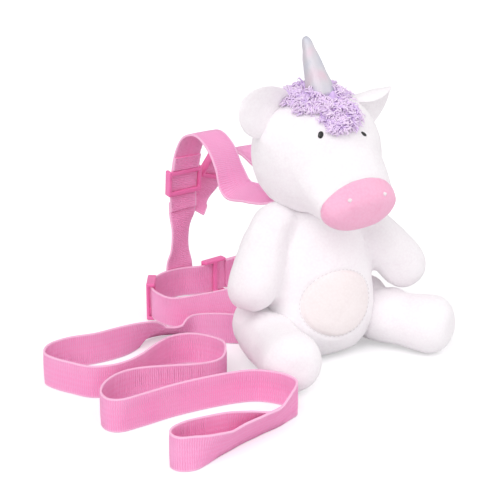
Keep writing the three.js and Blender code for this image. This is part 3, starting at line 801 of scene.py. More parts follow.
@dataclass(frozen=True)
class HeadPose:
    """Where the head and its muzzle lie, in millimetres, and how the head is turned on the neck."""

    centre: Colour = (0.0, -3.0, 159.0)
    half: Colour = (49.0, 46.0, 47.0)
    nose: Colour = (0.0, -66.0, 126.0)
    tilt: float = 17.0
    turn: float = 9.0
    snout: float = 15.0

    def placed(self, point: Sequence[float]) -> Vector:
        """Turns a point in millimetres with the head and returns it in metres."""
        centre = Vector(self.centre)
        turn = Matrix.Rotation(math.radians(self.turn), 3, "Z")
        return (centre + turn @ (Vector(point) - centre)) * MM

    def muzzle(self) -> Vector:
        """Returns the direction in which the muzzle points."""
        tilt = math.radians(self.tilt)
        axis = Vector((0, -math.cos(tilt), -math.sin(tilt)))
        return Matrix.Rotation(math.radians(self.turn), 3, "Z") @ axis

    def seam(self) -> Vector:
        """Returns the middle of the seam round the snout."""
        return self.placed(self.nose) - self.muzzle() * self.snout * MM


HEAD_POSE = HeadPose()


@dataclass
class Body:
    """The torso round its pocket, its back panel with the zip, and the round belly."""

    belly_width: float = 60 * MM
    belly_height: float = 51 * MM
    belly_middle: float = 50 * MM
    belly_rise: float = 1.9 * MM
    panel_width: float = 60 * MM
    panel_height: float = 68 * MM
    panel_middle: float = 54 * MM
    hold: float = 6 * MM
    tuck: float = 2.6 * MM
    arms: tuple[str, ...] = ("arm_right", "arm_left")
    legs: tuple[str, ...] = ("leg_right", "leg_left")
    shoulder: tuple[float, ...] = (37 * MM, -5 * MM, 106 * MM)
    shoulder_size: tuple[float, ...] = (24 * MM, 16 * MM, 17 * MM)
    shoulder_slope: float = 45.0
    haunch: tuple[float, ...] = (48 * MM, -0.5 * MM, 28 * MM)
    haunch_size: tuple[float, ...] = (20 * MM, 17 * MM, 23 * MM)
    zip_width: float = 11 * MM
    zip_length: float = 54 * MM
    tooth_step: float = 1.5 * MM
    hem: float = 2.2 * MM
    pull_length: float = 16 * MM
    surface: BVHTree = None

    def off_oval(self, place: Vector, width: float, height: float, middle: float) -> float:
        """Returns roughly how far a point lies outside an oval, seen along Y.

        Args:
            place: The point.
            width: Width of the oval.
            height: Height of the oval.
            middle: Height of its middle over the floor.

        Returns:
            The distance, under 0 inside.
        """
        spot = Vector((place.x / (width / 2), (place.z - middle) / (height / 2)))
        return (spot.length - 1) * min(width, height) / 2

    def off_belly(self, place: Vector) -> float:
        """Returns the distance from the belly's seam, far for points at the back."""
        if place.y > -15 * MM:
            return 1.0
        return self.off_oval(place, self.belly_width, self.belly_height, self.belly_middle)

    def off_panel(self, place: Vector) -> float:
        """Returns the distance outside the back panel's edge, far for points at the front."""
        if place.y < 12 * MM:
            return 1.0
        return self.off_oval(place, self.panel_width, self.panel_height, self.panel_middle)

    def wad(self, sign: int, place: tuple[float, ...], size: tuple[float, ...], slope: float) -> bpy.types.Object:
        """Returns one wad of stuffing.

        Args:
            sign: Side of the body, 1 for the animal's left.
            place: Its middle on the left side.
            size: Its half lengths.
            slope: Degrees that it slopes down to the side.

        Returns:
            The wad.
        """
        return settled(shaped(
            "uv_sphere", segments=24, ring_count=16, radius=1.0, scale=size,
            location=(sign * place[0], *place[1:]), rotation=(0, sign * math.radians(slope), 0),
        ))

    def shoulders(self) -> list[bpy.types.Object]:
        """Returns the stuffing that slopes from the neck to each arm."""
        return [self.wad(sign, self.shoulder, self.shoulder_size, self.shoulder_slope) for sign in (-1, 1)]

    def build_leg(self, node: str) -> None:
        """Builds one stuffed leg, whose root is sewn into the torso.

        Args:
            node: Its plain node.
        """
        sign = 1 if node.endswith("left") else -1
        form = Stuffed(f"{node}_plush", [node], voxel=2.8 * MM, softening=5, puff=1.5 * MM, levels=1,
                       filling=lambda: [self.wad(sign, self.haunch, self.haunch_size, 0.0)])
        piece = form.stuffed()
        rooted(piece, self.surface, 5 * MM, 3.5 * MM)
        dressed(piece, Finish.WHITE, [node])

    def joint(self, limb: str, torso: BVHTree) -> Seam:
        """Returns the seam where a limb is sewn to the torso.

        Args:
            limb: The limb's node.
            torso: Faces of the plain torso.

        Returns:
            The seam.
        """
        tree = tree_of(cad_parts[limb])
        return Seam(
            lambda place: max(tree.find_nearest(place)[3], torso.find_nearest(place)[3]), 1.4 * MM, 4.2 * MM
        )

    def build_torso(self) -> None:
        """Builds the stuffed torso with its arms, whose opening at the back keeps the panel's form."""
        plain = tree_of(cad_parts["torso"])
        seams = [Seam(self.off_belly, 1.3 * MM, 3.2 * MM), *(self.joint(arm, plain) for arm in self.arms)]
        form = Stuffed("body_plush", ["torso", *self.arms], voxel=2.8 * MM, softening=6, puff=1.5 * MM, levels=1,
                       seams=seams, filling=self.shoulders)
        piece = form.stuffed()
        for vertex in piece.data.vertices:
            off = self.off_panel(vertex.co)
            share = min(max(off / self.hold, 0.0), 1.0)
            if share < 1:
                spot = plain.find_nearest(vertex.co)[0]
                vertex.co = spot.lerp(vertex.co, share * share * (3 - 2 * share))
        dressed(piece, Finish.WHITE, ["torso", *self.arms])
        self.surface = tree_of(piece)

    def front(self, x: float, z: float) -> Vector:
        """Returns the point of the torso's front at x and z."""
        return self.surface.ray_cast(Vector((x, -0.2, z)), Vector((0, 1, 0)))[0]

    def build_belly(self) -> None:
        """Builds the round belly that is sewn on the torso's front."""
        piece = settled(shaped("uv_sphere", segments=96, ring_count=40, radius=1.0, rotation=(math.pi / 2, 0, 0)))
        piece.name = "belly_plush"
        rim = 0.99
        for vertex in piece.data.vertices:
            across, deep, high = vertex.co
            radius = min(math.hypot(across, high), 1.0)
            x = across * rim * self.belly_width / 2
            z = self.belly_middle + high * rim * self.belly_height / 2
            surface = self.front(x, z)
            dome = self.belly_rise * (1 - radius ** 6) ** 0.5
            grain = 0.35 * MM * noise.noise(Vector((x, 0, z)) * 70)
            vertex.co = Vector((x, surface.y - (dome + grain if deep < 0 else -0.8 * MM), z))
        dressed(piece, Finish.WARM, ["belly_patch"])
        path = []
        for step in range(241):
            angle = 2 * math.pi * step / 240
            x = math.sin(angle) * (self.belly_width / 2 + 0.4 * MM)
            z = self.belly_middle + math.cos(angle) * (self.belly_height / 2 + 0.4 * MM)
            spot, normal, _, _ = self.surface.ray_cast(Vector((x, -0.2, z)), Vector((0, 1, 0)))
            path.append((spot, normal))
        sewing = Stitching(length=2.2 * MM, space=1.4 * MM, thick=0.5 * MM)
        stitches = sewing.sewn("belly_stitches", sewing.run(path))
        dressed(stitches, Finish.WHITE_THREAD)

    def build_panel(self) -> None:
        """Builds the back panel as padded cloth with a slot for the zip."""
        form = Stuffed("back_panel_plush", ["back_panel"], voxel=0.9 * MM, softening=3, puff=0, levels=0,
                       lumps=0.15 * MM)
        piece = form.stuffed()
        middle = Vector((0, 0, self.panel_middle))
        for vertex in piece.data.vertices:
            share = min(max(1 + self.off_panel(vertex.co) / self.tuck, 0.0), 1.0)
            out = Vector((vertex.co.x, 0, vertex.co.z)) - middle
            vertex.co += out.normalized() * share * self.tuck + Vector((0, -1.1 * MM * share * share, 0))
        dressed(piece, Finish.WHITE, ["back_panel"])

    def build_zip(self) -> None:
        """Builds the zip's tapes, its teeth, and its slider with a pull."""
        tree = tree_of(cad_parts["zip"])
        low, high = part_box("zip")
        middle = (low[2] + high[2]) / 2

        def surface(x: float, z: float) -> Vector:
            """Returns the outer face of the tapes at x and z."""
            side = math.copysign(max(abs(x), 3.6 * MM), x)
            return tree.ray_cast(Vector((side, 0.2, z)), Vector((0, -1, 0)))[0]

        tapes = []
        for sign in (-1, 1):
            tape = shaped("grid", x_subdivisions=6, y_subdivisions=60, size=1.0)
            for vertex in tape.data.vertices:
                x = sign * (0.25 * MM + (vertex.co.x + 0.5) * (self.zip_width / 2 - 0.25 * MM))
                z = middle + vertex.co.y * (self.zip_length - 0.6 * MM)
                spot = surface(x, z)
                hem = self.hem if vertex.co.x > 0.49 else 0.0
                end = self.hem * vertex.co.y * 2 if abs(vertex.co.y) > 0.49 else 0.0
                vertex.co = Vector((x + sign * hem, spot.y - 0.3 * MM - 0.3 * (hem + abs(end)), z + end))
            wall = tape.modifiers.new("wall", "SOLIDIFY")
            wall.thickness = 0.7 * MM
            wall.offset = 0
            tapes.append(settled(tape))
        dressed(faced_outward(fused("zip_tapes", tapes)), Finish.ZIP_TAPE, ["zip"])
        teeth = Stitching(thick=0.8 * MM)
        rows = []
        count = int(self.zip_length / self.tooth_step) - 1
        for k in range(count):
            z = low[2] + (k + 1) * self.tooth_step
            for sign in (-1, 1):
                height = z + (0 if sign < 0 else self.tooth_step / 2)
                spot = surface(0, min(height, high[2] - 1 * MM))
                start = Vector((sign * 1.9 * MM, spot.y + 0.15 * MM, height))
                rows.append((start, Vector((-sign * 0.5 * MM, spot.y + 0.5 * MM, height)), Vector((0, 1, 0))))
        dressed(teeth.sewn("zip_teeth", rows), Finish.ZIP)
        self.build_slider(surface, middle + self.zip_length / 2 - self.pull_length)

    def build_slider(self, surface: Callable[[float, float], Vector], pull_middle: float) -> None:
        """Builds the slider and its hanging pull.

        Args:
            surface: Gives the tapes' outer face at x and z.
            pull_middle: Height of the pull's middle.
        """
        top = pull_middle + self.pull_length / 2
        spot = surface(0, top)
        parts = []
        for size, place in (
            ((5.4, 2.4, 6.4), (0, spot.y + 1.1 * MM, top)),
            ((1.8, 1.6, 4.0), (0, spot.y + 2.6 * MM, top - 0.4 * MM)),
        ):
            block = shaped("cube", size=1.0, location=place, scale=[s * MM for s in size])
            parts.append(rounded_edges(block, 0.5 * MM))
        tab = shaped("grid", x_subdivisions=8, y_subdivisions=16, size=1.0)
        length = self.pull_length - 1 * MM
        for vertex in tab.data.vertices:
            u, v = vertex.co.x * 2, vertex.co.y * 2
            narrow = 1 - 0.25 * max(v, 0) - 0.3 * max(-v - 0.7, 0)
            x = u * 2.7 * MM * narrow
            z = pull_middle + v * length / 2
            low_end = surface(0, z)
            vertex.co = Vector((x, low_end.y + 1.3 * MM + 0.9 * MM * max(v, 0), z))
        wall = tab.modifiers.new("wall", "SOLIDIFY")
        wall.thickness = 1.1 * MM
        wall.offset = 0
        edge = tab.modifiers.new("edge", "BEVEL")
        edge.width = 0.3 * MM
        edge.segments = 2
        parts.append(settled(tab))
        dressed(faced_outward(fused("zip_slider", parts)), Finish.ZIP)

    def build(self) -> None:
        """Builds the whole body."""
        self.build_torso()
        for leg in self.legs:
            self.build_leg(leg)
        self.build_belly()
        self.build_panel()
        self.build_zip()


def rounded_edges(piece: bpy.types.Object, width: float, segments: int = 3) -> bpy.types.Object:
    """Bevels the edges of an object.

    Args:
        piece: The object.
        width: Width of the bevel.
        segments: Steps of the bevel.

    Returns:
        The same object, settled.
    """
    settled(piece)
    bevel = piece.modifiers.new("edges", "BEVEL")
    bevel.width = width
    bevel.segments = segments
    return settled(piece)


def rooted(
    piece: bpy.types.Object, host: BVHTree, reach: float = 3.5 * MM, depth: float = 2.5 * MM
) -> None:
    """Sinks the root of a piece into the form that it is sewn to.

    Args:
        piece: The piece.
        host: Faces of the form.
        reach: How far over the form the root still moves.
        depth: How far it sinks where it touches.
    """
    for vertex in piece.data.vertices:
        spot, normal, _, _ = host.find_nearest(vertex.co)
        height = max((vertex.co - spot).dot(normal), 0.0)
        if height < reach:
            vertex.co -= normal * depth * (1 - height / reach)


@dataclass
class Head:
    """The head with its snout, eyes, nostrils, ears, horn and mane."""

    eye_width: float = 3.9 * MM
    eye_height: float = 5.6 * MM
    eye_lean: dict[str, float] = field(default_factory=lambda: {"eye_right": -18.0, "eye_left": 48.0})
    left_eye_share: float = 0.62
    muzzle_reach: float = 62 * MM
    muzzle_wider: float = 0.1
    muzzle_lower: float = 0.06
    ear_length: float = 40.0
    ear_width: float = 44.0
    ear_thick: float = 5.0
    ear_narrow: float = 0.88
    ear_cup: float = 10.0
    surface: BVHTree = None

    def build_face(self) -> None:
        """Builds the head and the snout as one stuffed form, parted at the snout's seam."""
        seam, axis = HEAD_POSE.seam(), HEAD_POSE.muzzle()
        form = Stuffed("head_plush", ["head", "snout"], voxel=3.0 * MM, softening=4, puff=1.4 * MM, levels=1,
                       seams=[Seam(lambda place: (place - seam).dot(axis), 1.1 * MM, 2.6 * MM)])
        whole = form.stuffed()
        across = axis.cross(UP).normalized()
        rise = across.cross(axis)
        for vertex in whole.data.vertices:
            off = vertex.co - seam
            share = min(max(1 + off.dot(axis) / self.muzzle_reach, 0.0), 1.0) ** 2
            wider = across * off.dot(across) * self.muzzle_wider
            lower = rise * off.dot(rise) * self.muzzle_lower
            vertex.co += share * (wider - lower)
        self.surface = tree_of(whole)
        snout = whole.copy()
        snout.data = whole.data.copy()
        snout.name = "snout_plush"
        bpy.context.scene.collection.objects.link(snout)
        for piece, towards in ((whole, -1), (snout, 1)):
            edited(piece, bpy.ops.mesh.bisect, plane_co=seam + axis * towards * 0.05 * MM, plane_no=axis,
                   use_fill=True, clear_inner=towards > 0, clear_outer=towards < 0)
        dressed(whole, Finish.WHITE, ["head"])
        dressed(snout, Finish.ROSY, ["snout"])

    def build_eye(self, node: str) -> None:
        """Builds one embroidered, glossy eye.

        Args:
            node: Its plain node.
        """
        low, high = (Vector(corner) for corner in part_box(node))
        middle = (low + high) / 2
        spot, normal, _, _ = self.surface.find_nearest(middle)
        piece = shaped("uv_sphere", segments=40, ring_count=24, radius=1.0)
        piece.name = f"{node}_button"
        side = Matrix.Rotation(math.radians(self.eye_lean[node]), 3, normal) @ UP.cross(normal).normalized()
        rise = normal.cross(side)
        flat = 0.55
        share = self.left_eye_share if node == "eye_left" else 1.0
        for vertex in piece.data.vertices:
            x, y, z = vertex.co
            vertex.co = (
                spot + side * x * share * self.eye_width / 2 + rise * y * self.eye_height / 2
                + normal * (z * self.eye_width / 2 * flat + 0.1 * MM)
            )
        dressed(piece, Finish.EYE, [node])

    def build_nostril(self, node: str) -> None:
        """Sews one nostril as a few close stitches.

        Args:
            node: Its plain node.
        """
        low, high = (Vector(corner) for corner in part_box(node))
        middle = (low + high) / 2
        sewing = Stitching(thick=0.75 * MM, sides=8)
        side = HEAD_POSE.muzzle().cross(UP).normalized()
        rows = []
        for k in range(-2, 3):
            reach = 2.0 * MM * (1 - 0.12 * k * k)
            ends = []
            for way in (-1, 1):
                point = middle + side * k * 0.72 * MM + UP * way * reach
                spot, normal, _, _ = self.surface.find_nearest(point)
                ends.append(spot + normal * 0.35 * MM)
            rows.append((ends[0], ends[1], normal))
        dressed(sewing.sewn(f"{node}_stitches", rows), Finish.PALE_THREAD, [node])

    def build_ear(self, node: str, sign: int, size: float, rise: float, droop: float, fold: float) -> None:
        """Builds one soft cupped ear, whose root lies inside the head.

        Args:
            node: Its plain node.
            sign: Side of the head, 1 for the animal's left.
            size: Length as a share of the ear's length.
            rise: How steeply it points up.
            droop: How far its hollow side faces down.
            fold: Radians that one side is folded over, or 0 for a side that stays flat.
        """
        along = turned(sign * 0.9, -0.1, rise)
        wide = along.cross(turned(0, -1, -droop)).normalized()
        hollow = wide.cross(along)
        half = Vector(HEAD_POSE.half)
        base = Vector((sign * 0.6 * half.x, 0.12 * half.y, 0.58 * half.z)) + Vector(HEAD_POSE.centre)
        piece = shaped("uv_sphere", segments=96, ring_count=64, radius=1.0)
        piece.name = f"{node}_plush"
        for vertex in piece.data.vertices:
            across, deep, far = vertex.co
            seam = 0.45 * (1 - min(abs(deep) / 0.1, 1)) ** 2
            wave = noise.noise(Vector((across, far, sign)) * 2.2)
            reach = self.ear_width / 2 - seam
            wall = deep * self.ear_thick / 2
            if across < 0 and fold:
                bend = -across * fold
                flat = wide * (wall * math.sin(bend) - math.sin(bend) * reach / fold)
                flat += hollow * (wall * math.cos(bend) + (1 - math.cos(bend)) * reach / fold)
            else:
                cup, share = (self.ear_cup, 1.0) if across > 0 else (0.0, self.ear_narrow)
                flat = wide * across * reach * share + hollow * (wall + across ** 2 * cup)
            lift = hollow * (1.1 * wave - 0.4 * self.ear_cup)
            reach_out = along * (far + 0.7) / 1.7 * size * self.ear_length
            vertex.co = HEAD_POSE.placed(base + reach_out + flat + lift)
        dressed(faced_outward(piece), Finish.WHITE, [node])

    def build_horn(self) -> None:
        """Builds the stuffed horn of silvery cloth."""
        form = Stuffed("horn_foil", ["horn"], voxel=1.3 * MM, softening=6, puff=0.6 * MM, levels=1, lumps=0.5 * MM)
        piece = form.stuffed()
        rooted(piece, self.surface)
        dressed(piece, Finish.SILVER, ["horn"])

    def build(self) -> None:
        """Builds the whole head."""
        self.build_face()
        for side in ("right", "left"):
            self.build_eye(f"eye_{side}")
            self.build_nostril(f"nostril_{side}")
        self.build_ear("ear_right", -1, 1.0, 0.46, 0.0, 0.0)
        self.build_ear("ear_left", 1, 1.16, 0.1, 0.5, 1.9)
        self.build_horn()
        Mane().build()


@dataclass
class Mane:
    """The curly mane: a low backing full of small tapering curls."""

    curls: int = 5400
    rings: int = 5
    sides: int = 4
    length: float = 7.0 * MM
    thick: float = 1.5 * MM
    shrink: float = 4.6 * MM
    clear: float = 1.3 * MM
    seed: int = 11

    def backing(self) -> bpy.types.Object:
        """Builds the backing that the curls grow from.

        Returns:
            The backing, without a material.
        """
        form = Stuffed("mane_backing", ["mane"], voxel=1.9 * MM, softening=6, puff=0, levels=0, lumps=0.0)
        piece = form.stuffed()
        plain = tree_of(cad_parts["head"])
        for vertex in piece.data.vertices:
            inner, _, _, distance = plain.find_nearest(vertex.co)
            step = min(self.shrink, max(distance - 1.0 * MM, 0))
            if self.beyond(vertex.co):
                step = distance + 1.5 * MM
            if distance > 1e-6:
                vertex.co = vertex.co.lerp(inner, step / distance)
        piece.data.update()
        return piece

    def beyond(self, place: Vector) -> bool:
        """Tells whether a point lies past the trimmed edge of the fringe on the forehead."""
        centre = HEAD_POSE.placed(HEAD_POSE.centre)
        local = Matrix.Rotation(-math.radians(HEAD_POSE.turn), 3, "Z") @ (place - centre)
        if local.y > -12 * MM:
            return False
        lowest = 33 if local.x > -18 * MM else 60
        return local.x > 12.5 * MM or math.degrees(math.atan2(local.z, -local.y)) < lowest

    def roots(self, piece: bpy.types.Object) -> tuple[np.ndarray, np.ndarray]:
        """Draws the curls' roots evenly over the outside of the backing.

        Args:
            piece: The backing.

        Returns:
            The roots, and the normals there.
        """
        draw = np.random.default_rng(self.seed)
        mesh = piece.data
        skull = tree_of(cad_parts["head"])
        horn = tree_of(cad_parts["horn"])
        faces = [
            f for f in mesh.polygons
            if skull.find_nearest(f.center)[3] > 0.95 * MM and f.normal.dot(skull.find_nearest(f.center)[1]) > 0
            and horn.find_nearest(f.center)[3] > self.clear and not self.beyond(f.center)
        ]
        areas = np.array([f.area for f in faces])
        picked = draw.choice(len(faces), self.curls, p=areas / areas.sum())
        places, normals = [], []
        for number in picked:
            corners = [mesh.vertices[k].co for k in faces[number].vertices]
            u, v = draw.random(2)
            one, two, three, four = corners if len(corners) == 4 else (*corners, corners[-1])
            places.append(one.lerp(two, u).lerp(four.lerp(three, u), v))
            normals.append(faces[number].normal)
        return np.array(places), np.array(normals)

    def curly(self, places: np.ndarray, normals: np.ndarray) -> bpy.types.Object:
        """Grows a curl from each root, with a tone from its root to its tip, so that the root is painted shade among
        the curls.

        Args:
            places: The roots.
            normals: The directions out of the backing.

        Returns:
            All curls as one object, without a material.
        """
        draw = np.random.default_rng(self.seed + 1)
        count = len(places)
        down = np.array([0.0, 0.25, -1.0])
        flow = down - (normals @ down)[:, None] * normals
        flow /= np.linalg.norm(flow, axis=1)[:, None] + 1e-9
        aside = np.cross(normals, flow)
        swirl = np.array([noise.noise(Vector(place) * 95) for place in places])
        angle = 3.0 * swirl + draw.normal(0, 0.35, count)
        flow, aside = (
            flow * np.cos(angle)[:, None] + aside * np.sin(angle)[:, None],
            aside * np.cos(angle)[:, None] - flow * np.sin(angle)[:, None],
        )
        length = self.length * draw.uniform(0.7, 1.25, count)
        thick = self.thick * draw.uniform(0.75, 1.2, count)
        curl = 1.1 * MM * draw.uniform(0.6, 1.4, count)
        phase = draw.uniform(0, 2 * np.pi, count)
        spin = draw.choice([-1.0, 1.0], count)
        share = np.linspace(0, 1, self.rings)
        bend = spin[:, None] * share[None, :] * 1.6 * np.pi + phase[:, None]
        centre = (
            places[:, None, :]
            + flow[:, None, :] * (length[:, None] * share[None, :] * 0.8)[:, :, None]
            + normals[:, None, :] * (length[:, None] * 0.42 * np.sin(share[None, :] * 2.3) - 0.8 * MM)[:, :, None]
            + aside[:, None, :] * (curl[:, None] * (np.sin(bend) - np.sin(phase)[:, None]))[:, :, None]
            + normals[:, None, :] * (curl[:, None] * (np.cos(bend) - np.cos(phase)[:, None]) * 0.5)[:, :, None]
        )
        along = np.gradient(centre, axis=1)
        along /= np.linalg.norm(along, axis=2)[:, :, None]
        across = np.cross(along, normals[:, None, :])
        across /= np.linalg.norm(across, axis=2)[:, :, None] + 1e-9
        third = np.cross(across, along)
        taper = np.interp(share, [0, 0.3, 0.75, 1], [0.7, 1, 0.7, 0.12])
        turn = np.arange(self.sides) * 2 * np.pi / self.sides
        ring = (
            across[:, :, None, :] * np.cos(turn)[None, None, :, None]
            + third[:, :, None, :] * np.sin(turn)[None, None, :, None]
        )
        radius = (thick[:, None] / 2 * taper[None, :])[:, :, None, None]
        points = (centre[:, :, None, :] + ring * radius).reshape(-1, 3)
        faces = []
        for k in range(self.rings - 1):
            for s in range(self.sides):
                near, far = k * self.sides, (k + 1) * self.sides
                following = (s + 1) % self.sides
                faces.append((near + s, near + following, far + following))
                faces.append((near + s, far + following, far + s))
        last = (self.rings - 1) * self.sides
        for s in range(1, self.sides - 1):
            faces.append((0, s + 1, s))
            faces.append((last, last + s, last + s + 1))
        each = self.rings * self.sides
        whole = (np.array(faces)[None] + np.arange(count)[:, None, None] * each).reshape(-1, 3)
        piece = new_object("mane_curls", points, whole)
        # Painted shade: the tone is low at each curl's root, deep among the other curls, and rises to its tip; a random
        # share per curl varies it.
        tone = np.clip(
            0.3 + 0.75 * share[None, :, None] ** 0.8 + draw.uniform(-0.3, 0.25, count)[:, None, None], 0, 1
        ) * np.ones((1, 1, self.sides))
        layer = piece.data.attributes.new("tone", "FLOAT", "POINT")
        layer.data.foreach_set("value", tone.astype(np.float32).ravel())
        return piece

    def build(self) -> None:
        """Builds the backing and the curls."""
        backing = self.backing()
        places, normals = self.roots(backing)
        # The backing takes a low tone: painted shade under the curls.
        layer = backing.data.attributes.new("tone", "FLOAT", "POINT")
        layer.data.foreach_set("value", np.full(len(backing.data.vertices), 0.4, dtype=np.float32))
        curls = self.curly(places, normals)
        dressed(backing, Finish.LILAC, ["mane"])
        dressed(curls, Finish.LILAC)


# Harness


def unit(rows: np.ndarray) -> np.ndarray:
    """Returns each row at length 1."""
    return rows / np.linalg.norm(rows, axis=-1, keepdims=True)


class Route:
    """A smooth route of webbing through rows of places and width directions."""

    def __init__(self, rows: Sequence[tuple[Vector, Vector]]) -> None:
        """Keeps the rows, in metres.

        Args:
            rows: The middle of the webbing and the direction of its width.
        """
        self.rows = np.array([[*place, *wide.normalized()] for place, wide in rows])

    def values(self, t: np.ndarray) -> np.ndarray:
        """Returns the values between the rows, on a smooth curve through them.

        Args:
            t: Where on the route, from 0 to 1.

        Returns:
            One row for each t.
        """
        last = len(self.rows) - 1
        at = np.clip(t, 0, 1) * last
        first = np.minimum(np.floor(at).astype(int), last - 1)
        f = (at - first)[:, None]
        a, b, c, d = (self.rows[np.clip(first + k, 0, last)] for k in (-1, 0, 1, 2))
        return b + 0.5 * f * (c - a + f * (2 * a - 5 * b + 4 * c - d + f * (3 * (b - c) + d - a)))

    def frames(self, t: np.ndarray) -> tuple[np.ndarray, np.ndarray, np.ndarray, np.ndarray]:
        """Returns the middle, and the directions of the length, width and face.

        Args:
            t: Where on the route.

        Returns:
            Four arrays of vectors.
        """
        small = 0.02 / len(self.rows)
        row = self.values(t)
        along = unit(self.values(t + small)[:, :3] - self.values(t - small)[:, :3])
        wide = row[:, 3:]
        wide = unit(wide - (wide * along).sum(axis=1, keepdims=True) * along)
        return row[:, :3], along, wide, np.cross(along, wide)

    def lengths(self) -> tuple[np.ndarray, np.ndarray]:
        """Returns close values of t and the length of webbing up to each."""
        t = np.linspace(0, 1, 80 * len(self.rows))
        middle = self.values(t)[:, :3]
        return t, np.concatenate([[0], np.cumsum(np.linalg.norm(np.diff(middle, axis=0), axis=1))])

    def at_length(self, length: float | np.ndarray) -> np.ndarray:
        """Returns the t at a length of webbing from the route's start."""
        t, run = self.lengths()
        return np.interp(length, run, t)

    def length_at(self, t: float) -> float:
        """Returns the length of webbing from the route's start to t."""
        steps, run = self.lengths()
        return float(np.interp(t, steps, run))


@dataclass
class Strap:
    """Flat webbing along a route."""

    route: Route
    width: float = 25 * MM
    thick: float = 1.5 * MM
    step: float = 0.4 * MM
    rib: float = 1.6 * MM
    rib_height: float = 0.2 * MM
    columns: tuple[float, ...] = (-0.5, -0.455, -0.2, 0.0, 0.2, 0.455, 0.5)

    def strip(self, start: float, end: float, layer: float = 0.0) -> bpy.types.Object:
        """Lays webbing on the route between two lengths.

        Args:
            start: Length from the route's start.
            end: Length from the route's start.
            layer: How far its middle lies off the route.

        Returns:
            The strip, settled.
        """
        steps = max(int((end - start) / self.step), 2)
        piece = shaped("grid", x_subdivisions=len(self.columns) - 1, y_subdivisions=steps, size=1.0)
        mesh = piece.data
        flat = np.array([v.co for v in mesh.vertices])
        flat[:, 0] = np.interp(flat[:, 0], np.linspace(-0.5, 0.5, len(self.columns)), self.columns)
        length = start + (flat[:, 1] + 0.5) * (end - start)
        middle, _, wide, face = self.route.frames(self.route.at_length(length))
        ribs = self.rib_height * np.cos(length * 2 * np.pi / self.rib) * (np.abs(flat[:, 0]) < 0.4)
        points = middle + wide * (flat[:, :1] * self.width) + face * (layer + ribs)[:, None]
        mesh.vertices.foreach_set("co", points.astype(np.float32).ravel())
        loops = np.array([loop.vertex_index for loop in mesh.loops])
        uvs = np.stack([(flat[:, 0] + 0.5) * self.width, length], axis=1)[loops]
        mesh.uv_layers[0].data.foreach_set("uv", uvs.astype(np.float32).ravel())
        mesh.update()
        wall = piece.modifiers.new("wall", "SOLIDIFY")
        wall.thickness = self.thick
        wall.offset = 0
        wall.use_even_offset = True
        edge = piece.modifiers.new("edge", "BEVEL")
        edge.width = 0.35 * MM
        edge.segments = 1
        edge.limit_method = "ANGLE"
        edge.angle_limit = math.radians(50)
        return on_table(settled(piece))

    def whole(self, layer: float = 0.0) -> bpy.types.Object:
        """Lays webbing on the whole route."""
        return self.strip(0, self.route.length_at(1.0), layer)

    def sewing(self, middle: float, length: float, side: float, layer: float = 0.0) -> list:
        """Places a box of stitches with a cross on one face of the webbing.

        Args:
            middle: Length along the route of the box's middle.
            length: Length of the box.
            side: 1 or -1 for the face.
            layer: How far the face's webbing lies off the route.

        Returns:
            The stitches.
        """
        half = self.width / 2 - 3 * MM
        corners = [(-1, -1), (1, -1), (1, 1), (-1, 1), (-1, -1), (1, 1), (1, -1), (-1, 1)]
        path = []
        for (a, b), (c, d) in zip(corners, corners[1:]):
            for k in range(16):
                share = k / 16
                path.append((a + (c - a) * share, b + (d - b) * share))
        spots = []
        for u, v in path:
            t = self.route.at_length(np.array([middle + v * length / 2]))
            centre, _, wide, face = (Vector(row[0]) for row in self.route.frames(t))
            spots.append((centre + wide * u * half + face * (layer + side * self.thick / 2), face * side))
        return Stitching(length=2.0 * MM, space=1.0 * MM, thick=0.5 * MM).run(spots)


@dataclass
class Adjuster:
    """A moulded slider on the webbing: two rails, two bars behind and one in front."""

    strap: Strap
    length: float = 22 * MM
    rail: float = 3 * MM
    bar: float = 4 * MM
    bar_thick: float = 2.4 * MM
    web_thick: float = 1.6 * MM
    gap: float = 0.35 * MM

    def shape(self, name: str) -> bpy.types.Object:
        """Models the slider at the origin: X across, Y along the webbing and Z out of it.

        Args:
            name: Name of the piece.

        Returns:
            The slider.
        """
        web = self.strap
        deep = self.web_thick + 2 * (self.gap + self.bar_thick)
        reach = web.width + 2 * (self.gap + self.rail)
        off = (self.web_thick + self.bar_thick) / 2 + self.gap
        end = (self.length - self.bar) / 2
        parts = []
        blocks = [((self.rail, self.length, deep), (k * (reach - self.rail) / 2, 0, 0)) for k in (-1, 1)]
        blocks += [((reach - self.rail, self.bar, self.bar_thick), (0, k * end, way * off))
                   for k, way in ((-1, -1), (1, -1), (0, 1))]
        for size, place in blocks:
            parts.append(rounded_edges(shaped("cube", size=1.0, location=place, scale=size), 0.9 * MM))
        return moulded(fused(name, parts), 0.42 * MM)

    def build(self, name: str, slot: str, node: str, t: float, flip: int) -> None:
        """Builds the slider on its route.

        Args:
            name: Name of the piece.
            slot: Not used.
            node: Its plain node.
            t: Where on the route.
            flip: 1 or -1 for the face that its single bar is on.
        """
        piece = self.shape(name)
        middle, along, _, face = (Vector(row[0]) for row in self.strap.route.frames(np.array([t])))
        out = face * flip
        side = along.cross(out)
        basis = Matrix((side, along, out)).transposed().to_4x4()
        piece.data.transform(Matrix.Translation(middle) @ basis)
        dressed(on_table(piece), Finish.FITTING, [node])


def moulded(piece: bpy.types.Object, voxel: float) -> bpy.types.Object:
    """Melts overlapping parts into one smooth moulded body.

    Args:
        piece: The joined parts.
        voxel: Size of the new mesh's cells.

    Returns:
        The same object, settled.
    """
    remesh = piece.modifiers.new("melt", "REMESH")
    remesh.mode = "VOXEL"
    remesh.voxel_size = voxel
    smooth = piece.modifiers.new("soft", "SMOOTH")
    smooth.factor = 0.5
    smooth.iterations = 4
    return settled(piece)


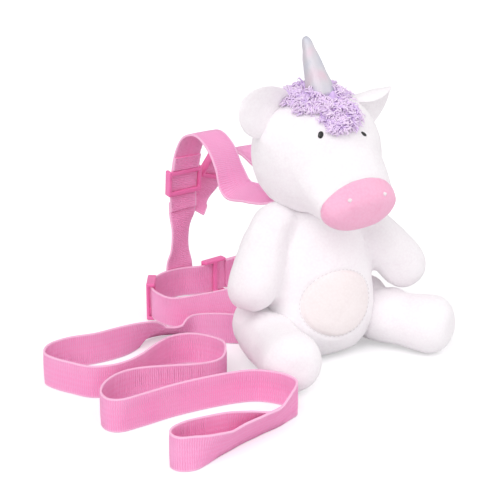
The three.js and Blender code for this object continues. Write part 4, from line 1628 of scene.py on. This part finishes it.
LEVEL = turned(1, 0, 0)
TIPPED = turned(0.9, -0.25, 0.35)
LYING = turned(0.8, 0.5, 0.3)
TWISTED = turned(0.92, 0.39, 0)
STEEP = turned(0.45, -0.35, 0.8)
LEAN = math.tan(math.radians(38))
LEANED = turned(-0.574 * LEAN, -0.819 * LEAN, 1)
HALF_LEANED = turned(-0.2, -0.3, 1)

RIGHT_STRAP = (
    (-0.7, -0.04, 1.01, 0, LEVEL), (-0.85, 0.1, 1, 0, TIPPED), (-1.05, 0.24, 0.985, 0, LYING),
    (-1.2, 0.37, 0.99, 0, TIPPED), (-1.2, 0.46, 1, 0.4, LEVEL), (-1.16, 0.57, 1, 0.82, LEVEL),
    (-1.14, 0.72, 1, 1.03, LEVEL), (-1.14, 0.87, 1, 0.85, LEVEL), (-1.14, 0.97, 1, 0.35, LEVEL),
    (-1.14, 1.02, 0.93, 0, LEVEL), (-1.13, 1.035, 0.84, 0, LEVEL), (-1.12, 1.045, 0.75, 0, LEVEL),
    (-1.1, 1.05, 0.66, 0, LEVEL),
)
LEFT_STRAP = (
    (0.7, -0.04, 1.01, 0, LEVEL), (0.8, 0.14, 0.98, 0, LEVEL), (0.76, 0.34, 0.95, 0, LEVEL),
    (0.7, 0.54, 1, 0.1, LEVEL), (0.64, 0.74, 1, 0.36, LEVEL), (0.56, 0.92, 1, 0.25, LEVEL),
    (0.46, 1.03, 0.96, 0, LEVEL), (0.3, 1.075, 0.87, 0, LEVEL), (0.12, 1.12, 0.78, 0, LEVEL),
    (-0.26, 1.14, 0.7, 0, LEVEL), (-0.66, 1.09, 0.64, 0, LEVEL),
)
CHEST_STRAP = (
    (-1.1, 1.05, 0.72, 0, LEVEL), (-1.1, 1.05, 0.64, 0, LEVEL), (-1.14, 1.05, 0.52, 0, TWISTED),
    (-1.2, 1.05, 0.37, 0, TWISTED),
)
RIGHT_BELT = (
    (-0.36, -0.1, 0.75, UP), (-0.56, 0.1, 0.62, STEEP), (-0.84, 0.3, 0.3, STEEP), (-1.08, 0.48, 0, UP),
    (-1.16, 0.66, 0, UP), (-1.08, 0.82, 0, UP), (-0.9, 0.94, 0, UP), (-0.68, 1, 0, UP), (-0.44, 1, 0, UP),
    (-0.22, 0.95, 0, UP), (0.04, 0.955, 0, UP), (0.32, 0.975, 0, UP), (0.62, 0.96, 0, UP),
    (0.86, 0.84, 0, UP), (0.98, 0.68, 0, UP),
)
LEFT_BELT = (
    (0.98, 0.44, 0, UP), (0.94, 0.3, 0, UP), (0.8, 0.14, 0, UP), (0.62, 0.02, 0, UP), (0.44, -0.1, 0, UP),
)
LEAD_FROM_BODY = (
    (-0.26, -0.26, UP), (-0.05, -0.09, UP), (0.1, 0.07, STEEP), (0.2, 0.18, turned(0.3, -0.8, 0.5)),
    (0.33, 0.22, turned(0, -0.8, 0.6)), (0.45, 0.18, turned(0, -0.35, 0.93)), (0.59, 0.16, UP),
    (0.74, 0.16, UP), (0.88, 0.19, UP), (1, 0.17, UP), (1.07, 0.09, UP), (1.06, 0, UP), (1.02, -0.09, UP),
    (0.97, -0.18, UP), (0.89, -0.225, UP), (0.79, -0.23, UP), (0.68, -0.195, UP), (0.56, -0.13, UP),
    (0.45, -0.09, UP), (0.35, -0.11, UP), (0.29, -0.19, UP), (0.27, -0.3, UP),
)
LEAD_FROM_FOOT = (
    (0.23, 0.205, UP), (0.31, 0.16, UP), (0.41, 0.18, UP), (0.53, 0.24, UP), (0.67, 0.3, UP),
    (0.78, 0.3, UP), (0.88, 0.25, UP), (0.95, 0.17, UP), (0.965, 0.09, UP), (0.92, 0.04, UP),
    (0.81, 0.035, UP), (0.64, 0.04, UP), (0.48, 0.027, UP), (0.33, 0, UP), (0.225, -0.04, UP),
    (0.16, -0.11, UP), (0.127, -0.19, UP), (0.14, -0.27, UP), (0.21, -0.32, HALF_LEANED),
    (0.32, -0.37, LEANED), (0.43, -0.395, LEANED), (0.55, -0.42, LEANED), (0.67, -0.455, LEANED),
    (0.77, -0.48, HALF_LEANED), (0.85, -0.475, UP), (0.91, -0.445, UP), (0.92, -0.39, UP),
    (0.88, -0.345, UP), (0.8, -0.325, UP), (0.7, -0.335, UP), (0.6, -0.355, UP),
)
HANDLE_END = ((0.5, -0.37, HALF_LEANED), (0.4, -0.375, LEANED), (0.33, -0.368, LEANED))


@dataclass
class Harness:
    """The webbing harness with its adjusters and buckle, and the folded lead with its hand loop."""

    turn: float = 8.0
    body_width: float = 94.0
    body_depth: float = 80.0
    body_ahead: float = 5.0
    strap_spread: float = 24.0
    strap_root: float = 120.0
    strap_reach: float = 120.0
    arch_rise: float = 32.0
    belt_reach: float = 106.0
    belt_spread: float = 66.0
    rail: float = 3.0
    gap: float = 0.35
    web_width: float = 25.0
    web_thick: float = 1.6
    lead_fold: float = 150.0
    leg_length: float = 88.0
    tail: float = 12.0

    def laid(self, x: float, y: float, z: float, wide: Vector, root: Vector = Vector()) -> tuple[Vector, Vector]:
        """Turns a row with the harness.

        Args:
            x: Place across, in millimetres.
            y: Place towards the back.
            z: Height.
            wide: Direction of the webbing's width.
            root: The point that x and y start from.

        Returns:
            The place in metres, and the turned direction.
        """
        turn = Matrix.Rotation(math.radians(self.turn), 3, "Z")
        spot = root + turn @ Vector((x, y, 0))
        return Vector((spot.x, spot.y, z)) * MM, turn @ wide

    def resting(self, wide: Vector) -> float:
        """Returns the height of the middle of webbing whose lower edge rests on the table."""
        return (self.web_width * abs(wide.z) + self.web_thick * math.sqrt(1 - wide.z ** 2)) / 2

    def strap_rows(self, table: Sequence[tuple]) -> list[tuple[Vector, Vector]]:
        """Places the rows of a strap that starts at the neck."""
        neck = self.body_depth * 0.2
        return [
            self.laid(side * self.strap_spread, neck + back * self.strap_reach,
                      high * self.strap_root + rise * self.arch_rise, wide)
            for side, back, high, rise, wide in table
        ]

    def belt_rows(self, table: Sequence[tuple]) -> list[tuple[Vector, Vector]]:
        """Places the rows of the belt."""
        back_y = self.body_depth / 2 - self.body_ahead
        return [
            self.laid(side * self.belt_spread, back_y + back * self.belt_reach,
                      self.resting(wide) + high * self.web_width + self.rail + self.gap, wide)
            for side, back, high, wide in table
        ]

    def lead_rows(self, root: Vector, table: Sequence[tuple]) -> list[tuple[Vector, Vector]]:
        """Places rows of the lead from a root."""
        return [
            self.laid(-out * self.lead_fold, back * self.lead_fold, self.resting(wide), wide, root)
            for out, back, wide in table
        ]

    def chest_rows(self) -> list[tuple[Vector, Vector]]:
        """Places the rows of the strap between the shoulder straps' end and the belt."""
        rows = self.strap_rows(CHEST_STRAP)
        y = self.body_depth / 2 - self.body_ahead + 1.01 * self.belt_reach
        for high in (0.24, 0.03):
            rows.append(self.laid(-1.25 * self.strap_spread, y, high * self.strap_root, LEVEL))
        return rows

    def all_lead_rows(self) -> tuple[list, list]:
        """Returns the rows of the whole lead with its hand loop, and those of its sewn end."""
        root = Vector((-self.body_width * 0.53, self.body_depth * 0.44, 0))
        axis = turned(-0.12, -0.99, 0)
        foot = Vector((-self.body_width * 0.5, 0, 0)) + axis * self.leg_length * 0.7
        rows = self.lead_rows(root, LEAD_FROM_BODY) + self.lead_rows(foot, LEAD_FROM_FOOT)
        return rows, rows[-2:] + self.lead_rows(foot, HANDLE_END)

    def tailed(self, name: str, rows: list, t: float, way: int, node: str, flip: float) -> Strap:
        """Builds webbing with a turned-back end beside its adjuster.

        Args:
            name: Name of the piece.
            rows: Its route.
            t: Where the adjuster sits.
            way: 1 where the end lies onwards from the adjuster.
            node: Its plain node.
            flip: 1 or -1 for the face that the end lies on.

        Returns:
            The strap.
        """
        strap = Strap(Route(rows))
        layer = flip * (strap.thick + 0.1 * MM)
        at = strap.route.length_at(t)
        near = at + way * (11 * MM + 1 * MM)
        far = near + way * self.tail * MM
        start, end = sorted((near, far))
        parts = [strap.whole(), strap.strip(start, end, layer)]
        dressed(fused(name, parts), Finish.PINK, [node])
        stitches = strap.sewing((near + far) / 2 + way * 2 * MM, 5 * MM, math.copysign(1, layer), layer)
        sewn = Stitching(thick=0.5 * MM).sewn(f"{name}_stitches", stitches)
        dressed(sewn, Finish.PINK_THREAD)
        return strap

    def build_straps(self) -> None:
        """Builds the shoulder straps, the chest strap and their adjusters."""
        rows = self.strap_rows(RIGHT_STRAP)
        right = self.tailed("shoulder_webbing_right", rows, 0.8, -1, "shoulder_strap_right", 1)
        left = Strap(Route(self.strap_rows(LEFT_STRAP)))
        dressed(fused("shoulder_webbing_left", [left.whole()]), Finish.PINK, ["shoulder_strap_left"])
        chest = Strap(Route(self.chest_rows()))
        layer = -(self.web_thick + self.gap) * MM
        dressed(fused("chest_webbing", [chest.whole(layer)]), Finish.PINK, ["chest_strap"])
        sewn = chest.sewing(8 * MM, 11 * MM, -1, layer)
        dressed(Stitching(thick=0.5 * MM).sewn("chest_stitches", sewn), Finish.PINK_THREAD)
        Adjuster(right).build("strap_slider_right", "fittings", "strap_adjuster_right", 0.8, -1)
        Adjuster(left).build("strap_slider_left", "fittings", "strap_adjuster_left", 0.65, -1)

    def build_belt(self) -> None:
        """Builds the belt, its adjusters and the fastened buckle."""
        rows = self.belt_rows(RIGHT_BELT)
        right = self.tailed("belt_webbing_right", rows, 0.7, 1, "belt_right", 1)
        left = Strap(Route(self.belt_rows(LEFT_BELT)))
        dressed(fused("belt_webbing_left", [left.whole()]), Finish.PINK, ["belt_left"])
        Adjuster(right).build("belt_slider_right", "fittings", "belt_adjuster_right", 0.37, 1)
        Adjuster(right).build("belt_slider_left", "fittings", "belt_adjuster_left", 0.7, 1)
        Buckle(self).build()

    def build_lead(self) -> None:
        """Builds the folded lead, whose far part is a sewn hand loop."""
        rows, end_rows = self.all_lead_rows()
        lead = Strap(Route(rows))
        end = Strap(Route(end_rows))
        parts = [lead.whole(), end.whole()]
        dressed(fused("lead_webbing", parts), Finish.PINK, ["lead", "hand_loop"])
        reach = end.route.length_at(1.0)
        sewn = end.sewing(reach - 9 * MM, 13 * MM, -1) + end.sewing(reach - 9 * MM, 13 * MM, 1)
        dressed(Stitching(thick=0.5 * MM).sewn("lead_stitches", sewn), Finish.PINK_THREAD)

    def build(self) -> None:
        """Builds the whole harness and the lead."""
        self.build_straps()
        self.build_belt()
        self.build_lead()


@dataclass
class Buckle:
    """A fastened side-release buckle."""

    harness: Harness
    thick: float = 9 * MM
    length: float = 44 * MM
    wide: float = 31.7 * MM

    def build(self) -> None:
        """Models both halves at the origin, melts them and places them on the belt."""
        blocks = [
            ((0.72, 0.5, 0.98), (0, -0.22, 0)),
            ((1.0, 0.34, 0.8), (0, -0.12, 0)),
            ((0.62, 0.2, 0.9), (0, 0.38, 0)),
            ((0.5, 0.5, 0.34), (0, 0.1, 0)),
            ((0.44, 0.42, 0.13), (0, 0.14, 0.38)),
            ((0.44, 0.42, 0.13), (0, 0.14, -0.38)),
            ((0.7, 0.14, 0.98), (0, 0.24, 0)),
        ]
        whole = (self.thick, self.length, self.wide)
        parts = []
        for size, place in blocks:
            place, size = ([share * side for share, side in zip(shares, whole)] for shares in (place, size))
            parts.append(rounded_edges(shaped("cube", size=1.0, location=place, scale=size), 1.0 * MM))
        piece = moulded(fused("buckle_halves", parts), 0.45 * MM)
        (middle, _), = self.harness.belt_rows([(0.98, 0.56, 0, UP)])
        turn = math.radians(self.harness.turn)
        place = Matrix.Translation((middle.x, middle.y, self.wide / 2)) @ Matrix.Rotation(turn, 4, "Z")
        piece.data.transform(place)
        dressed(on_table(piece), Finish.FITTING, ["buckle"])


# Studio


@dataclass
class Studio:
    """The camera, a plain pale floor and soft light."""

    eye: Colour = (-0.5685, -1.0103, 0.494)
    azimuth: float = -27.0
    pitch: float = 19.7
    lens: float = 115.2

    def build_camera(self) -> None:
        """Places the camera at the photograph's angle."""
        camera = bpy.data.cameras.new("camera")
        camera.lens = self.lens
        camera.sensor_width = 36
        camera.clip_start = 0.05
        camera.clip_end = 20
        holder = bpy.data.objects.new("camera", camera)
        holder.location = self.eye
        turn, pitch = math.radians(self.azimuth), math.radians(self.pitch)
        way = Vector((-math.sin(turn) * math.cos(pitch), math.cos(turn) * math.cos(pitch), -math.sin(pitch)))
        holder.rotation_euler = way.to_track_quat("-Z", "Y").to_euler()
        bpy.context.scene.collection.objects.link(holder)
        bpy.context.scene.camera = holder

    def build_floor(self) -> None:
        """Lays the floor."""
        floor = settled(shaped("plane", size=9.0, location=(0, 0, -0.0004)))
        floor.name = "studio_floor"
        material, sheet, shader = started("studio_floor", 0.9, Specular_IOR_Level=0.1)
        place = sheet.add("TexCoord").outputs["Object"]
        tone = sheet.add("Group", {"node_tree": MOTTLE}, Place=place, Size=3.0)
        share = sheet.maths("MULTIPLY", tone.outputs[0], 0.2)
        colour = sheet.mixed(share, (0.84, 0.84, 0.85, 1), (0.86, 0.86, 0.86, 1))
        sheet.tree.links.new(colour, shader.inputs["Base Color"])
        shader.inputs["Emission Color"].default_value = (1, 1, 1, 1)
        seen = sheet.maths("MULTIPLY", sheet.add("LightPath").outputs["Is Camera Ray"], 0.36)
        sheet.tree.links.new(seen, shader.inputs["Emission Strength"])
        floor.data.materials.append(material)

    def lamp(self, name: str, place: Colour, spread: float, power: float) -> None:
        """Adds a broad soft light from far away.

        Args:
            name: Name of the light.
            place: The direction that it comes from.
            spread: How broad it looks, in degrees.
            power: Its strength.
        """
        light = bpy.data.lights.new(name, "SUN")
        light.angle = math.radians(spread)
        light.energy = power
        holder = bpy.data.objects.new(name, light)
        holder.location = place
        holder.rotation_euler = (-Vector(place)).to_track_quat("-Z", "Y").to_euler()
        bpy.context.scene.collection.objects.link(holder)

    def build_light(self) -> None:
        """Adds the pale surroundings and the soft lights."""
        world = bpy.data.worlds.new("surroundings")
        world.use_nodes = True
        sheet = NodeSheet(world.node_tree)
        sky = world.node_tree.nodes["Background"]
        sky.inputs["Color"].default_value = (1, 0.985, 0.99, 1)
        seen = sheet.add("LightPath").outputs["Is Camera Ray"]
        strength = sheet.add("MapRange", i0=seen, i3=0.57, i4=1.1).outputs[0]
        sheet.tree.links.new(strength, sky.inputs["Strength"])
        bpy.context.scene.world = world
        self.lamp("key", (-1.1, -0.75, 1.25), 50, 1.35)
        self.lamp("fill", (1.1, -1.0, 0.7), 90, 0.9)
        bpy.context.scene.view_settings.view_transform = "Standard"

    def build(self) -> None:
        """Builds the whole studio."""
        self.build_camera()
        self.build_floor()
        self.build_light()


def main() -> None:
    """Builds the studio and the backpack."""
    logging.basicConfig(level=logging.INFO, format="%(name)s: %(message)s")
    Studio().build()
    Body().build()
    Head().build()
    Harness().build()
    bpy.ops.object.select_all(action="DESELECT")


if __name__ == "__main__":
    main()
